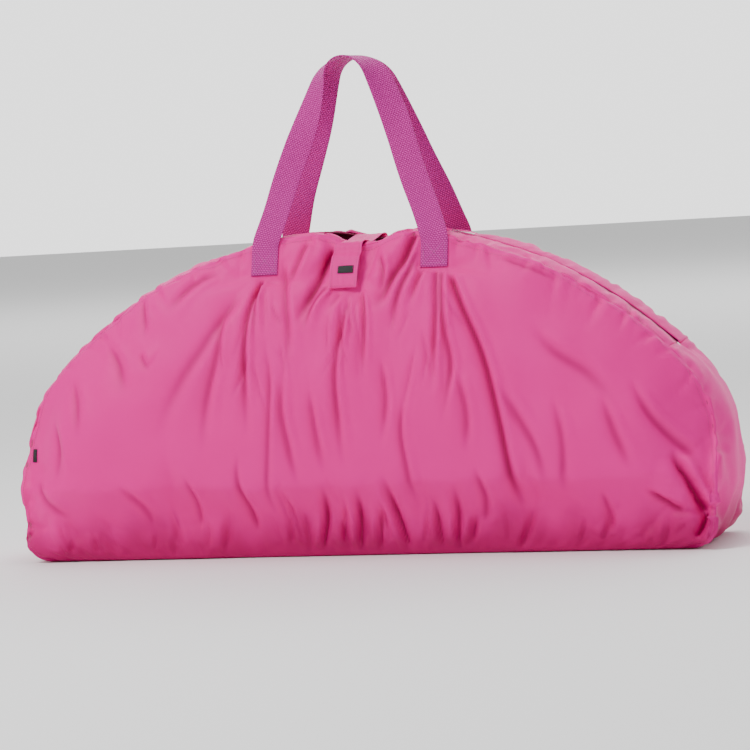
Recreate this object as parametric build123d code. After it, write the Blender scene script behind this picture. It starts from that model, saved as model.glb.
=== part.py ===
from build123d import *
from math import asin, atan2, cos, degrees, radians, sin, sqrt
import os

# Half-moon carry bag in coated nylon: two outer panels, a gusset with a two-way zip, two webbing
# handles and a closing tab. Millimetres, +Z up, +X along the bag, -Y to its front. The origin is on
# the floor in the middle of the base. The top is a little open between the two zip sliders.

# Driving sizes of the bag body
bag_length = 980.0
bag_height = 440.0
base_depth = 236.0
top_radius = 610.0          # the long arc over the top
side_radius = 180.0         # from the long arc down to the ends
corner_radius = 40.0        # all round the base
belly_radius = 1300.0       # how the two panels lean in towards the top
wall = 2.0                  # cloth, stiff enough to stand as one solid

# Zip and mouth
zip_half_angle = 45.0       # degrees each side of the top
mouth_half_length = 120.0
mouth_half_gap = 30.0
tooth_gap = 0.6             # each side of the zip's centre line, where the slider's web runs
tooth_edge = 3.0
tape_edge = 12.0
slider_length = 16.0
slider_angle = 12.4         # degrees from the top, just outside the mouth
pull_bar_height = 3.5

# Handles
webbing_width = 38.0
webbing_thickness = 2.0
handle_spacing = 240.0
handle_sewn_low = 384.0
handle_sewn_high = 424.0
handle_apex_height = 675.0
handle_apex_radius = 45.0
handle_apex_y = 23.0

# Closing tab
tab_width = 40.0
tab_thickness = 2.0
tab_top = 442.0
tab_front_low = 362.0
tab_rear_low = 385.0
tab_rear_high = 440.5       # where the free part begins

# Worked out from the driving sizes
half_length = bag_length / 2
half_base = base_depth / 2
flat_half = half_base - corner_radius
arc_centre_z = bag_height - top_radius
side_sine = (half_length - side_radius) / (top_radius - side_radius)
side_cosine = sqrt(1 - side_sine**2)
shoulder_angle = degrees(asin(side_sine))
side_centre_x = half_length - side_radius
side_centre_z = arc_centre_z + (top_radius - side_radius) * side_cosine
belly_centre_y = belly_radius - half_base
far = 1200.0                # longer than the bag, for cutting prisms


def loop_face(edges):
    """One flat face from edges that close on themselves."""
    return make_face(Wire(edges))


def mirrored(shape):
    """The same shape at the back of the bag."""
    return mirror(shape, about=Plane.XZ)


def other_end(shape):
    """The same shape at the other end of the bag."""
    return mirror(shape, about=Plane.YZ)


def moon_prism(inset):
    """The half-moon outline, drawn that far inside the cloth's outer face, as a block along Y."""
    top, side, corner = top_radius - inset, side_radius - inset, corner_radius - inset
    half, corner_x = half_length - inset, half_length - corner_radius
    diagonal = sqrt(0.5) * corner
    side_mid = radians(shoulder_angle / 2 + 45)
    crown = (0, 0, arc_centre_z + top)
    right = [
        (top * side_sine, 0, arc_centre_z + top * side_cosine),
        (side_centre_x + side * sin(side_mid), 0, side_centre_z + side * cos(side_mid)),
        (half, 0, side_centre_z),
        (half, 0, corner_radius),
        (corner_x + diagonal, 0, corner_radius - diagonal),
        (corner_x, 0, inset),
    ]
    left = [(-x, y, z) for x, y, z in right]
    edges = [ThreePointArc(left[0], crown, right[0])]
    for side_points in (right, left):
        shoulder, bulge, hip, knee, heel, foot = side_points
        edges += [ThreePointArc(shoulder, bulge, hip), Line(hip, knee), ThreePointArc(knee, heel, foot)]
    edges.append(Line(right[-1], left[-1]))
    return extrude(loop_face(edges), far / 2, dir=(0, 1, 0), both=True)


def panel_y(inset, z):
    """Where the front panel's face stands at a height, that far inside its outer face."""
    return belly_centre_y - sqrt((belly_radius - inset) ** 2 - (z - corner_radius) ** 2)


def section_prism(inset):
    """The bag's section across its middle, drawn that far inside the outer face, as a block along X."""
    corner, diagonal = corner_radius - inset, sqrt(0.5) * (corner_radius - inset)
    ceiling = bag_height + 60
    middle = (corner_radius + ceiling) / 2
    front = [
        (0, -flat_half, inset),
        (0, -flat_half - diagonal, corner_radius - diagonal),
        (0, -half_base + inset, corner_radius),
        (0, panel_y(inset, middle), middle),
        (0, panel_y(inset, ceiling), ceiling),
    ]
    back = [(x, -y, z) for x, y, z in front]
    edges = [Line(front[0], back[0]), Line(front[-1], back[-1])]
    for foot, heel, knee, belly, crown in (front, back):
        edges += [ThreePointArc(foot, heel, knee), ThreePointArc(knee, belly, crown)]
    return extrude(loop_face(edges), far, dir=(1, 0, 0), both=True)


def front_layer(outer, inner, low, high, x, width):
    """A strip that lies on the front panel, between two depths under its outer face."""
    middle = (low + high) / 2
    edges = [
        ThreePointArc(*[(x, panel_y(outer, z), z) for z in (low, middle, high)]),
        Line((x, panel_y(outer, high), high), (x, panel_y(inner, high), high)),
        ThreePointArc(*[(x, panel_y(inner, z), z) for z in (high, middle, low)]),
        Line((x, panel_y(inner, low), low), (x, panel_y(outer, low), low)),
    ]
    return extrude(loop_face(edges), width / 2, dir=(1, 0, 0), both=True)


def zip_band(near, back):
    """What lies between two distances in front of the zip's line, seen from above, as a block along Z."""
    def line_of(offset):
        return [(-far, -offset, 0), (-mouth_half_length, -offset, 0), (0, -mouth_half_gap - offset, 0),
                (mouth_half_length, -offset, 0), (far, -offset, 0)]
    edges = []
    for start, mouth_start, widest, mouth_end, end in (line_of(near), line_of(back)):
        edges += [Line(start, mouth_start), ThreePointArc(mouth_start, widest, mouth_end)]
        edges.append(Line(mouth_end, end))
    edges += [Line(line_of(near)[0], line_of(back)[0]), Line(line_of(near)[-1], line_of(back)[-1])]
    return extrude(loop_face(edges), far, dir=(0, 0, 1), both=True)


def sector(low_angle, high_angle):
    """The slice of the long arc between two angles from the top, as a block along Y."""
    corners = []
    for angle, radius in ((low_angle, 350), (low_angle, far), (high_angle, far), (high_angle, 350)):
        corners.append((radius * sin(radians(angle)), 0, arc_centre_z + radius * cos(radians(angle))))
    edges = [Line(corner, corners[i - 1]) for i, corner in enumerate(corners)]
    return extrude(loop_face(edges), far, dir=(0, 1, 0), both=True)


def front_panel():
    """Outer panel, turned under at the base as far as the base panel."""
    ring = (section_prism(0) - section_prism(wall)) & moon_prism(0)
    base = Pos(0, 0, wall / 2) * Box(far, 2 * flat_half, wall)
    behind = Pos(0, far / 2, 0) * Box(2 * far, far, 2 * far)
    return ring - base - behind


def base_panel():
    """The strip that the bag rests on."""
    return (Pos(0, 0, wall / 2) * Box(far, 2 * flat_half, wall)) & moon_prism(0)


def gusset_ring():
    """The whole wall between the two panels."""
    return (moon_prism(0) - moon_prism(wall)) & section_prism(wall)


def zip_slice():
    """All of the long arc that the zip takes up."""
    return sector(-zip_half_angle, zip_half_angle)


def front_zip_strip():
    """The part of the gusset in front of the zip."""
    return gusset_ring() & zip_slice() & zip_band(tape_edge, far)


def right_end_gusset():
    """The gusset below the zip's right end."""
    left_half = Pos(-far / 2, 0, 0) * Box(far, far, 2 * far)
    return gusset_ring() - zip_slice() - left_half


def front_zip_tape():
    """The tape between the teeth and the gusset, half as thick as the cloth."""
    return (moon_prism(0.5) - moon_prism(1.5)) & zip_slice() & zip_band(tooth_edge, tape_edge)


def front_zip_teeth():
    """The coil of teeth, as one bead."""
    stop_angle = 0.5
    teeth_slice = sector(-zip_half_angle + stop_angle, zip_half_angle - stop_angle)
    return (moon_prism(-0.7) - moon_prism(2.3)) & teeth_slice & zip_band(tooth_gap, tooth_edge)


def zip_end_stops():
    """The two metal stops that hold the ends of the zip together."""
    block = moon_prism(-1.2) - moon_prism(2.8)
    block &= Box(2 * far, 2 * tooth_edge, 2 * far)
    stop = block & sector(zip_half_angle - 0.45, zip_half_angle)
    return stop + other_end(stop)


def along_zip(shape, angle):
    """Carries a shape from the top of the bag to an angle along the zip."""
    return Pos(0, 0, arc_centre_z) * Rot(0, angle, 0) * Pos(0, 0, top_radius) * shape


def slider_body():
    """Two plates joined by a web that runs between the teeth, with a bridge for the pull."""
    top_plate = Pos(0, 0, 1.8) * Box(slider_length, 11, 1.2)
    bottom_plate = Pos(0, 0, -3.4) * Box(slider_length, 11, 1.2)
    web = Pos(-slider_length / 2 + 2, 0, -0.8) * Box(4, 0.6, 5.2)
    body = top_plate + bottom_plate + web
    for side in (-1, 1):
        body += Pos(0, side * 4.9, 1.1) * Box(slider_length, 1.2, 1.4)
        body += Pos(side * 3.75, 0, 3.5) * Box(1.5, 2.4, 2.4)
    return body + Pos(0, 0, 5.1) * Box(9, 2.4, 1.0)


def pull_tab():
    """A plate on two arms, whose bar runs under the slider's bridge."""
    tab = Pos(0, 0, pull_bar_height) * Rot(90, 0, 0) * Cylinder(0.8, 9.2)
    for side in (-1, 1):
        tab += Pos(4.25, side * 3.9, pull_bar_height) * Box(9.5, 1.4, 1.4)
    plate = Pos(18, 0, pull_bar_height) * Box(20, 9.2, 1.4)
    return tab + fillet(plate.edges().filter_by(Axis.Z).sort_by(Axis.X)[-2:], 3.0)


def handle_ends():
    """The two ends of a webbing handle, sewn flat on the panel."""
    low, high = handle_sewn_low, handle_sewn_high
    end = front_layer(-webbing_thickness, 0, low, high, handle_spacing / 2, webbing_width)
    return end + other_end(end)


def handle_stitching():
    """A box of stitches with a cross in it, on each sewn end."""
    thread, margin = 1.2, 4.0
    wide, tall = webbing_width - 2 * margin, handle_sewn_high - handle_sewn_low - 2 * margin
    centre = (handle_spacing / 2, (handle_sewn_low + handle_sewn_high) / 2)
    pattern = Box(wide, far, tall) - Box(wide - 2 * thread, far, tall - 2 * thread)
    slope = degrees(atan2(tall - thread, wide - thread))
    for turn in (-slope, slope):
        pattern += Rot(0, turn, 0) * Box(sqrt(wide**2 + tall**2) - 2 * thread, far, thread)
    layer = front_layer(-webbing_thickness - 0.5, -webbing_thickness, handle_sewn_low, handle_sewn_high,
                        handle_spacing / 2, webbing_width)
    stitches = layer & (Pos(centre[0], 0, centre[1]) * pattern)
    return stitches + other_end(stitches)


def handle_backing():
    """The cloth squares inside the panel that take the pull of the handle."""
    patch = front_layer(wall, wall + 1.2, 374, 412, handle_spacing / 2, webbing_width + 8)
    return patch + other_end(patch)


def handle_centre_line():
    """Points of the free loop, from its left end over the top to its right end."""
    handle_hinge_z = handle_sewn_high + 2
    handle_hinge_y = panel_y(-1.25 * webbing_thickness, handle_hinge_z)
    rise = handle_apex_height - handle_hinge_z
    centre_height = rise - handle_apex_radius
    reach = sqrt((handle_spacing / 2) ** 2 + centre_height**2)
    leg = sqrt(reach**2 - handle_apex_radius**2)
    lean = atan2(handle_spacing / 2, centre_height) - atan2(handle_apex_radius, leg)
    leg_steps, arc_steps = 10, 8
    flat = []
    for step in range(leg_steps):
        share = step / leg_steps
        flat.append((-handle_spacing / 2 + leg * share * sin(lean), leg * share * cos(lean)))
    for step in range(arc_steps + 1):
        angle = -(radians(90) - lean) * (1 - 2 * step / arc_steps)
        flat.append((handle_apex_radius * sin(angle), centre_height + handle_apex_radius * cos(angle)))
    for step in range(leg_steps):
        share = 1 - (step + 1) / leg_steps
        flat.append((handle_spacing / 2 - leg * share * sin(lean), leg * share * cos(lean)))
    points = []
    for x, height in flat:
        share = height / rise
        y = handle_hinge_y + (-handle_apex_y - handle_hinge_y) * (2 * share - share**2)
        points.append(Vector(x, y, handle_hinge_z + height))
    return points


def handle_loop():
    """The free loop of a handle: flat to the panel at its ends, and turned edge-on over the top."""
    points = handle_centre_line()
    last = len(points) - 1
    sections = []
    for i, point in enumerate(points):
        along = (points[min(i + 1, last)] - points[max(i - 1, 0)]).normalized()
        if i in (0, last):
            along = Vector(0, along.Y, along.Z).normalized()
        share = min(1.0, max(0.0, (i / last - 0.22) / 0.56))
        turn = radians(180) * share
        across = Vector(1, 0, 0) * cos(turn) - Vector(0, 1, 0) * sin(turn)
        across = (across - along * across.dot(along)).normalized()
        plane = Plane(origin=point, x_dir=across, z_dir=along)
        sections.append(plane * Rectangle(webbing_width, webbing_thickness))
    return loft(sections, ruled=True)


def closing_tab_flap():
    """The free part of the tab: over the mouth and down on the front panel."""
    front = front_layer(-4.6, -2.6, tab_front_low, tab_top - 2, 0, tab_width)
    front_edge = panel_y(-4.6, tab_top - 2)
    rear_edge = -panel_y(-tab_thickness, tab_rear_high)
    roof = Pos(0, (front_edge + rear_edge) / 2, tab_top + tab_thickness / 2)
    roof *= Box(tab_width, rear_edge - front_edge, tab_thickness)
    bend = Pos(0, front_edge + tab_thickness / 2, tab_top - 1) * Box(tab_width, tab_thickness, 4)
    return front + roof + bend


def closing_tab_anchor():
    """The sewn end of the tab, on the rear panel."""
    return mirrored(front_layer(-tab_thickness, 0, tab_rear_low, tab_rear_high, 0, tab_width))


def loop_patch():
    """The soft half of the tab's fastener, on the front panel."""
    return front_layer(-1.2, 0, tab_front_low + 4, tab_front_low + 40, 0, tab_width - 6)


def hook_patch():
    """The hooked half of the tab's fastener, on the inside of the tab."""
    return front_layer(-2.6, -1.5, tab_front_low + 4, tab_front_low + 40, 0, tab_width - 6)


def tab_label():
    """A woven label near the tab's free end."""
    return front_layer(-5.2, -4.6, tab_front_low + 14, tab_front_low + 23, 3, 22)


def side_label():
    """A woven label on the front panel, close to the left end."""
    return front_layer(-0.8, 0, 141, 158, -478, 9)


def front_seam_binding():
    """The tape over the raw edges of the front panel's seam, inside the bag."""
    strip = (moon_prism(wall) - moon_prism(wall + 1)) & (section_prism(wall) - section_prism(wall + 10))
    behind = Pos(0, far / 2, 0) * Box(2 * far, far, 2 * far)
    base = Box(2 * far, 2 * (flat_half - 10), 28)
    return strip - behind - base


def make_nodes():
    """Every sub-part by name."""
    slider = along_zip(slider_body(), slider_angle)
    pull = along_zip(pull_tab(), slider_angle)
    right_gusset = right_end_gusset()
    nodes = {
        "base_panel": base_panel(),
        "right_end_gusset": right_gusset,
        "left_end_gusset": other_end(right_gusset),
        "zip_end_stops": zip_end_stops(),
        "right_zip_slider": slider,
        "left_zip_slider": other_end(slider),
        "right_zip_pull": pull,
        "left_zip_pull": other_end(pull),
        "closing_tab_flap": closing_tab_flap(),
        "closing_tab_anchor": closing_tab_anchor(),
        "closing_tab_hook_patch": hook_patch(),
        "closing_tab_loop_patch": loop_patch(),
        "closing_tab_label": tab_label(),
        "side_label": side_label(),
    }
    front_and_rear = {
        "panel": front_panel(),
        "zip_strip": front_zip_strip(),
        "zip_tape": front_zip_tape(),
        "zip_teeth": front_zip_teeth(),
        "seam_binding": front_seam_binding(),
        "handle_loop": handle_loop(),
        "handle_ends": handle_ends(),
        "handle_stitching": handle_stitching(),
        "handle_backing": handle_backing(),
    }
    for name, shape in front_and_rear.items():
        nodes["front_" + name] = shape
        nodes["rear_" + name] = mirrored(shape)
    return nodes


def main():
    os.makedirs("parts", exist_ok=True)
    for name, shape in make_nodes().items():
        export_step(shape, f"parts/{name}.step")
    print("handle loop starts at", handle_centre_line()[0], "and peaks at", handle_centre_line()[14])
    print("zip arc centre z", arc_centre_z, "tab hinge y", round(-panel_y(-tab_thickness, tab_rear_high), 2))


main()
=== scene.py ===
import math
import bmesh
import bpy
import numpy as np
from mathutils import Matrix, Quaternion, Vector
from mathutils.bvhtree import BVHTree


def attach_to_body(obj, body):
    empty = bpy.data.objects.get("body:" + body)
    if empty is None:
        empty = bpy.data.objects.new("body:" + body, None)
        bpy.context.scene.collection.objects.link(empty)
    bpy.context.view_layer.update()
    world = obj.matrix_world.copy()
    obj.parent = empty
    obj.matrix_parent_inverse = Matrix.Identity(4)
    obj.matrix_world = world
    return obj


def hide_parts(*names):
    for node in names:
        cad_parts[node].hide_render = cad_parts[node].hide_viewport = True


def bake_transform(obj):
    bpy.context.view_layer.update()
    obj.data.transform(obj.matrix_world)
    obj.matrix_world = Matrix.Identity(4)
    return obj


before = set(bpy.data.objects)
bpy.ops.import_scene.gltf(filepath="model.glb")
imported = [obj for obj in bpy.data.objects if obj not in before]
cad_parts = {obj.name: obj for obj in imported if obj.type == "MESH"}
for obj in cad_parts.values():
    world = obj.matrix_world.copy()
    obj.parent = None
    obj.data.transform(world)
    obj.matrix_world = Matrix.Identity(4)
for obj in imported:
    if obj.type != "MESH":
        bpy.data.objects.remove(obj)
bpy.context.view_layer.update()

# The bag is a long arc over a shorter arc at each end, and stands on a flat base. All in metres.
bagShape = {
    "archRadius": 0.61,
    "archCentreZ": -0.17,
    "sideRadius": 0.18,
    "sideCentreX": 0.31,
    "sideCentreZ": 0.128,
    "cornerRadius": 0.04,
    "halfLength": 0.49,
    "baseHalf": 0.078,
    "bellyRadius": 1.3,
    "rimHalf": 0.066,       # how far the seams stand from the zip along the arc
    "rimSoft": 0.055,       # how quickly the panels swell from their seams
    "mouthHalf": 0.12,
    "mouthGap": 0.03,
    "zipAngle": 45.0,
    "tapeEdge": 0.012,
    "handleHalf": 0.12,     # the handles' ends are sewn on at this distance from the middle
    "sewnMiddle": 0.404,
    "sewnHalfTall": 0.02,
    "columnsAlong": 196,
    "rowsUp": 56,
    "columnsAcross": 8,
    "clothThickness": 0.0009,
}

shoulderAngle = math.asin(bagShape["sideCentreX"] / (bagShape["archRadius"] - bagShape["sideRadius"]))
archRun = bagShape["archRadius"] * shoulderAngle
sideRun = archRun + bagShape["sideRadius"] * (math.pi / 2 - shoulderAngle)
straightRun = sideRun + bagShape["sideCentreZ"] - bagShape["cornerRadius"]
cornerRun = straightRun + bagShape["cornerRadius"] * math.pi / 2
baseRun = cornerRun + bagShape["halfLength"] - bagShape["cornerRadius"]
cornerSpan = bagShape["cornerRadius"] * math.pi / 2


# small helpers

def smoothStep(value, low, high):
    share = np.clip((value - low) / (high - low), 0, 1)
    return share * share * (3 - 2 * share)


def outlineAt(run):
    # run is measured from the top centre, to the right; gives x, z and the outward direction
    run = np.asarray(run, float)
    side, reach = np.sign(run) + (run == 0), np.abs(run)
    archTurn = reach / bagShape["archRadius"]
    sideTurn = shoulderAngle + (reach - archRun) / bagShape["sideRadius"]
    cornerTurn = (reach - straightRun) / bagShape["cornerRadius"]
    half, corner = bagShape["halfLength"], bagShape["cornerRadius"]
    parts = [reach <= archRun, reach <= sideRun, reach <= straightRun, reach <= cornerRun]
    x = np.select(parts, [
        bagShape["archRadius"] * np.sin(archTurn),
        bagShape["sideCentreX"] + bagShape["sideRadius"] * np.sin(sideTurn),
        half + 0 * reach,
        half - corner + corner * np.cos(cornerTurn),
    ], half - corner - (reach - cornerRun))
    z = np.select(parts, [
        bagShape["archCentreZ"] + bagShape["archRadius"] * np.cos(archTurn),
        bagShape["sideCentreZ"] + bagShape["sideRadius"] * np.cos(sideTurn),
        bagShape["sideCentreZ"] - (reach - sideRun),
        corner - corner * np.sin(cornerTurn),
    ], 0 * reach)
    outX = np.select(parts, [np.sin(archTurn), np.sin(sideTurn), 1 + 0 * reach, np.cos(cornerTurn)], 0 * reach)
    outZ = np.select(parts, [np.cos(archTurn), np.cos(sideTurn), 0 * reach, -np.sin(cornerTurn)], -1 + 0 * reach)
    return x * side, z, outX * side, outZ


def bellyDepth(z):
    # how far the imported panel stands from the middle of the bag
    corner, radius = bagShape["cornerRadius"], bagShape["bellyRadius"]
    low = bagShape["baseHalf"] + np.sqrt(np.clip(corner ** 2 - (corner - np.clip(z, 0, corner)) ** 2, 0, None))
    high = np.sqrt(radius ** 2 - (np.maximum(z, corner) - corner) ** 2) - radius + bagShape["baseHalf"] + corner
    return np.where(z < corner, low, high)


def heightOf(cut):
    # from the distance along the cut cloth, up from the base seam, to depth and height
    corner, radius = bagShape["cornerRadius"], bagShape["bellyRadius"]
    turn, lean = cut / corner, (cut - cornerSpan) / radius
    depth = np.where(cut < cornerSpan, bagShape["baseHalf"] + corner * np.sin(turn),
                     radius * np.cos(lean) - radius + bagShape["baseHalf"] + corner)
    z = np.where(cut < cornerSpan, corner - corner * np.cos(turn), corner + radius * np.sin(lean))
    return depth, z


def cutOf(z):
    corner, radius = bagShape["cornerRadius"], bagShape["bellyRadius"]
    low = corner * np.arccos(np.clip((corner - np.minimum(z, corner)) / corner, -1, 1))
    high = cornerSpan + radius * np.arcsin(np.clip((z - corner) / radius, 0, 1))
    return np.where(z < corner, low, high)


def rimWidth(run):
    x, z, outX, outZ = outlineAt(run)
    full = bellyDepth(z)
    wide = bagShape["rimHalf"] + (full - bagShape["rimHalf"]) * (1 - smoothStep(z, 0.045, 0.185))
    mix = 0.004      # rounds the corner where the two widths cross
    lesser = 0.5 * (wide + full - np.sqrt((wide - full) ** 2 + mix ** 2))
    return np.where(z < 0.045, full, lesser)


def mouthHalfWidth(x):
    half, gap = bagShape["mouthHalf"], bagShape["mouthGap"]
    radius = (half ** 2 + gap ** 2) / (2 * gap)
    inside = np.sqrt(np.clip(radius ** 2 - np.minimum(np.abs(x), half) ** 2, 0, None)) - radius + gap
    return np.where(np.abs(x) < half, inside, 0)


mouthDip = {
    "centreX": 0.014,
    "width": 0.044,
    "fromZ": 0.33,
    "toZ": 0.43,
    "depth": 0.015,
    "frontDepth": 0.008,    # how much further the front edge dips
    "frontLean": 0.004,
}


def settle(points):
    # the tab pulls the mouth's edges down between the handles
    points = np.array(points, float)
    x, y, z = points.T
    near = np.exp(-((x - mouthDip["centreX"]) / mouthDip["width"]) ** 2)
    near = near * smoothStep(z, mouthDip["fromZ"], mouthDip["toZ"])
    front = 1 - smoothStep(y, -0.03, 0.03)
    points[:, 2] -= near * (mouthDip["depth"] + mouthDip["frontDepth"] * front)
    points[:, 1] += near * mouthDip["frontLean"] * (front - 0.5)
    return points


def underHandles(x, z, halfWide, softX, softZ):
    # 1 under the handles' sewn ends, fading out round them
    gapX = np.maximum(np.abs(np.abs(x) - bagShape["handleHalf"]) - halfWide, 0)
    gapZ = np.maximum(np.abs(z - bagShape["sewnMiddle"]) - bagShape["sewnHalfTall"], 0)
    return np.exp(-(gapX / softX) ** 2) * np.exp(-(gapZ / softZ) ** 2)


def runLengths(points):
    return np.r_[0, np.cumsum(np.linalg.norm(np.diff(points, axis=0), axis=1))]


def unitRows(rows):
    return rows / np.linalg.norm(rows, axis=1)[:, None]


def gridFaces(rows, columns):
    return [(i * columns + j, i * columns + j + 1, (i + 1) * columns + j + 1, (i + 1) * columns + j)
            for i in range(rows - 1) for j in range(columns - 1)]


def linkPiece(name, data):
    piece = bpy.data.objects.new(name, data)
    bpy.context.collection.objects.link(piece)
    return piece


def attach(piece, body, slot, *nodes):
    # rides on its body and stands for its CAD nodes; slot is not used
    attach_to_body(piece, body)
    if nodes:
        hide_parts(*nodes)


def readInts(items, name):
    values = np.zeros(len(items), int)
    items.foreach_get(name, values)
    return values


def newPiece(name, points, faces, material, uvs=None, smooth=True):
    mesh = bpy.data.meshes.new(name)
    mesh.from_pydata([tuple(map(float, p)) for p in points], [], [tuple(map(int, f)) for f in faces])
    if uvs is not None:
        layer = mesh.uv_layers.new(name="clothMap")
        layer.data.foreach_set("uv", np.asarray(uvs, float)[readInts(mesh.loops, "vertex_index")].ravel())
    mesh.polygons.foreach_set("use_smooth", [smooth] * len(mesh.polygons))
    mesh.materials.append(material)
    mesh.update()
    return linkPiece(name, mesh)


def applyModifiers(piece):
    # leaves the piece with its modifiers worked into its mesh
    bpy.context.view_layer.update()
    solved = bpy.data.meshes.new_from_object(piece.evaluated_get(bpy.context.evaluated_depsgraph_get()))
    piece.modifiers.clear()
    piece.data = solved
    return piece


def addWall(piece, thickness, offset=0.0):
    wall = piece.modifiers.new("wall", "SOLIDIFY")
    wall.thickness = thickness
    wall.offset = offset
    wall.use_even_offset = False


def addRounding(piece):
    rounding = piece.modifiers.new("rounding", "SUBSURF")
    rounding.levels = rounding.render_levels = 1


def thicken(piece, thickness, offset=-1.0):
    addWall(piece, thickness, offset)
    return applyModifiers(piece)


def meshArrays(mesh):
    points = np.zeros(len(mesh.vertices) * 3)
    normals = np.zeros(len(mesh.vertices) * 3)
    mesh.vertices.foreach_get("co", points)
    mesh.vertices.foreach_get("normal", normals)
    return points.reshape(-1, 3), normals.reshape(-1, 3)


def readAttribute(mesh, name):
    values = np.zeros(len(mesh.vertices))
    mesh.attributes[name].data.foreach_get("value", values)
    return values


def writeAttribute(mesh, name, values):
    layer = mesh.attributes.get(name) or mesh.attributes.new(name, "FLOAT", "POINT")
    layer.data.foreach_set("value", np.asarray(values, np.float32))


def strip(points, across, out, width, thickness, rounds=4):
    # a flat band swept along points: across is its width's direction, out points away from its face
    count, ring = len(points), []
    half, edge = width / 2, thickness / 2
    for i in range(rounds + 1):
        turn = math.pi / 2 - math.pi * i / rounds
        ring.append((half - edge + edge * math.cos(turn), edge * math.sin(turn)))
    flatCount = 8
    for i in range(1, flatCount):
        ring.append(((half - edge) * (1 - 2 * i / flatCount), -edge))
    for i in range(rounds + 1):
        turn = -math.pi / 2 - math.pi * i / rounds
        ring.append((-half + edge + edge * math.cos(turn), edge * math.sin(turn)))
    for i in range(1, flatCount):
        ring.append(((half - edge) * (-1 + 2 * i / flatCount), edge))
    ring = np.array(ring)
    size = len(ring)
    verts = (points[:, None, :] + ring[None, :, 0, None] * across[:, None, :]
             + ring[None, :, 1, None] * out[:, None, :])
    uvs = np.stack([np.broadcast_to(ring[:, 0], (count, size)),
                    np.broadcast_to(runLengths(points)[:, None], (count, size))], -1)
    faces = []
    for i in range(count - 1):
        for j in range(size):
            k = (j + 1) % size
            faces.append((i * size + j, i * size + k, (i + 1) * size + k, (i + 1) * size + j))
    faces.append(tuple(reversed(range(size))))
    faces.append(tuple((count - 1) * size + j for j in range(size)))
    return verts.reshape(-1, 3), faces, uvs.reshape(-1, 2)


def outwards(piece):
    # turns a closed piece's faces to point out
    work = bmesh.new()
    work.from_mesh(piece.data)
    bmesh.ops.recalc_face_normals(work, faces=work.faces)
    work.to_mesh(piece.data)
    work.free()
    return piece


# materials

def newMaterial(name):
    material = bpy.data.materials.new(name)
    material.use_nodes = True
    tree = material.node_tree
    return material, tree, tree.nodes["Principled BSDF"]


def fillInputs(tree, node, inputs):
    # each input takes a plain value, or the socket it is linked from
    for key, value in inputs.items():
        socket = node.inputs[key]
        if isinstance(value, bpy.types.NodeSocket):
            tree.links.new(value, socket)
        elif isinstance(value, tuple) and socket.type == "RGBA":
            socket.default_value = (*value, 1.0)
        else:
            socket.default_value = value
    return node


def addNode(tree, kind, inputs=None, **settings):
    node = tree.nodes.new(kind)
    for key, value in settings.items():
        setattr(node, key, value)
    return fillInputs(tree, node, inputs or {})


def mixColors(tree, factor, first, second):
    return addNode(tree, "ShaderNodeMix", {0: factor, 6: first, 7: second}, data_type="RGBA").outputs[2]


def mathNode(tree, operation, first, second=0.0):
    return addNode(tree, "ShaderNodeMath", {0: first, 1: second}, operation=operation).outputs[0]


def noiseOf(tree, spot, scale, detail=2.0):
    return addNode(tree, "ShaderNodeTexNoise", {"Scale": scale, "Detail": detail, "Vector": spot}).outputs["Fac"]


def mapRange(tree, value, low, high, fromLow=0.0, fromHigh=1.0):
    node = addNode(tree, "ShaderNodeMapRange", {"Value": value, "From Min": fromLow, "From Max": fromHigh,
                                                "To Min": low, "To Max": high})
    return node.outputs["Result"]


def objectSpot(tree):
    return addNode(tree, "ShaderNodeTexCoord").outputs["Object"]


def clothSpot(tree):
    return addNode(tree, "ShaderNodeUVMap", uv_map="clothMap").outputs["UV"]


def attributeOf(tree, name):
    return addNode(tree, "ShaderNodeAttribute", attribute_name=name).outputs["Fac"]


def diagonalWave(tree, spot, scale, distortion=0.0):
    node = addNode(tree, "ShaderNodeTexWave", {"Scale": scale, "Distortion": distortion, "Vector": spot},
                   bands_direction="DIAGONAL")
    return node.outputs["Fac"]


def weaveHeight(tree, spot, across, along, gap=0.22):
    # threads over and under: a brick pattern whose joints are the gaps between threads
    brick = addNode(tree, "ShaderNodeTexBrick", {
        "Scale": 1.0, "Brick Width": across, "Row Height": along, "Mortar Size": along * gap,
        "Mortar Smooth": 1.0, "Vector": spot}, offset=0.5, squash=1.0)
    return mathNode(tree, "SUBTRACT", 1.0, brick.outputs["Fac"])


def bumpNode(tree, height, strength, distance, normal=None):
    bump = addNode(tree, "ShaderNodeBump", {"Strength": strength, "Distance": distance, "Height": height})
    if normal is not None:
        tree.links.new(normal, bump.inputs["Normal"])
    return bump.outputs["Normal"]


nylonLook = {
    "color": (0.93, 0.001, 0.31),
    # painted shade: folds' bottoms and the bag's low band darken towards this colour, which also fills the thread
    # gaps
    "shadeAndGapColor": (0.36, 0.001, 0.08),
    "paleColor": (0.95, 0.015, 0.40),
    "cloudScale": 7.0,
    "cloudShare": 0.14,
    "crumpleScale": 90.0,
    "paintedShadeShare": 0.85,      # how far painted shade takes a fold's bottom, and the bag's low band, to the shade colour
    "wearShare": 0.5,
    "roughness": 0.5,
    "sheen": 0.02,
    "threadPitch": 0.00055,
    "threadShade": 0.2,
    "weaveStrength": 0.3,
}


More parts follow.
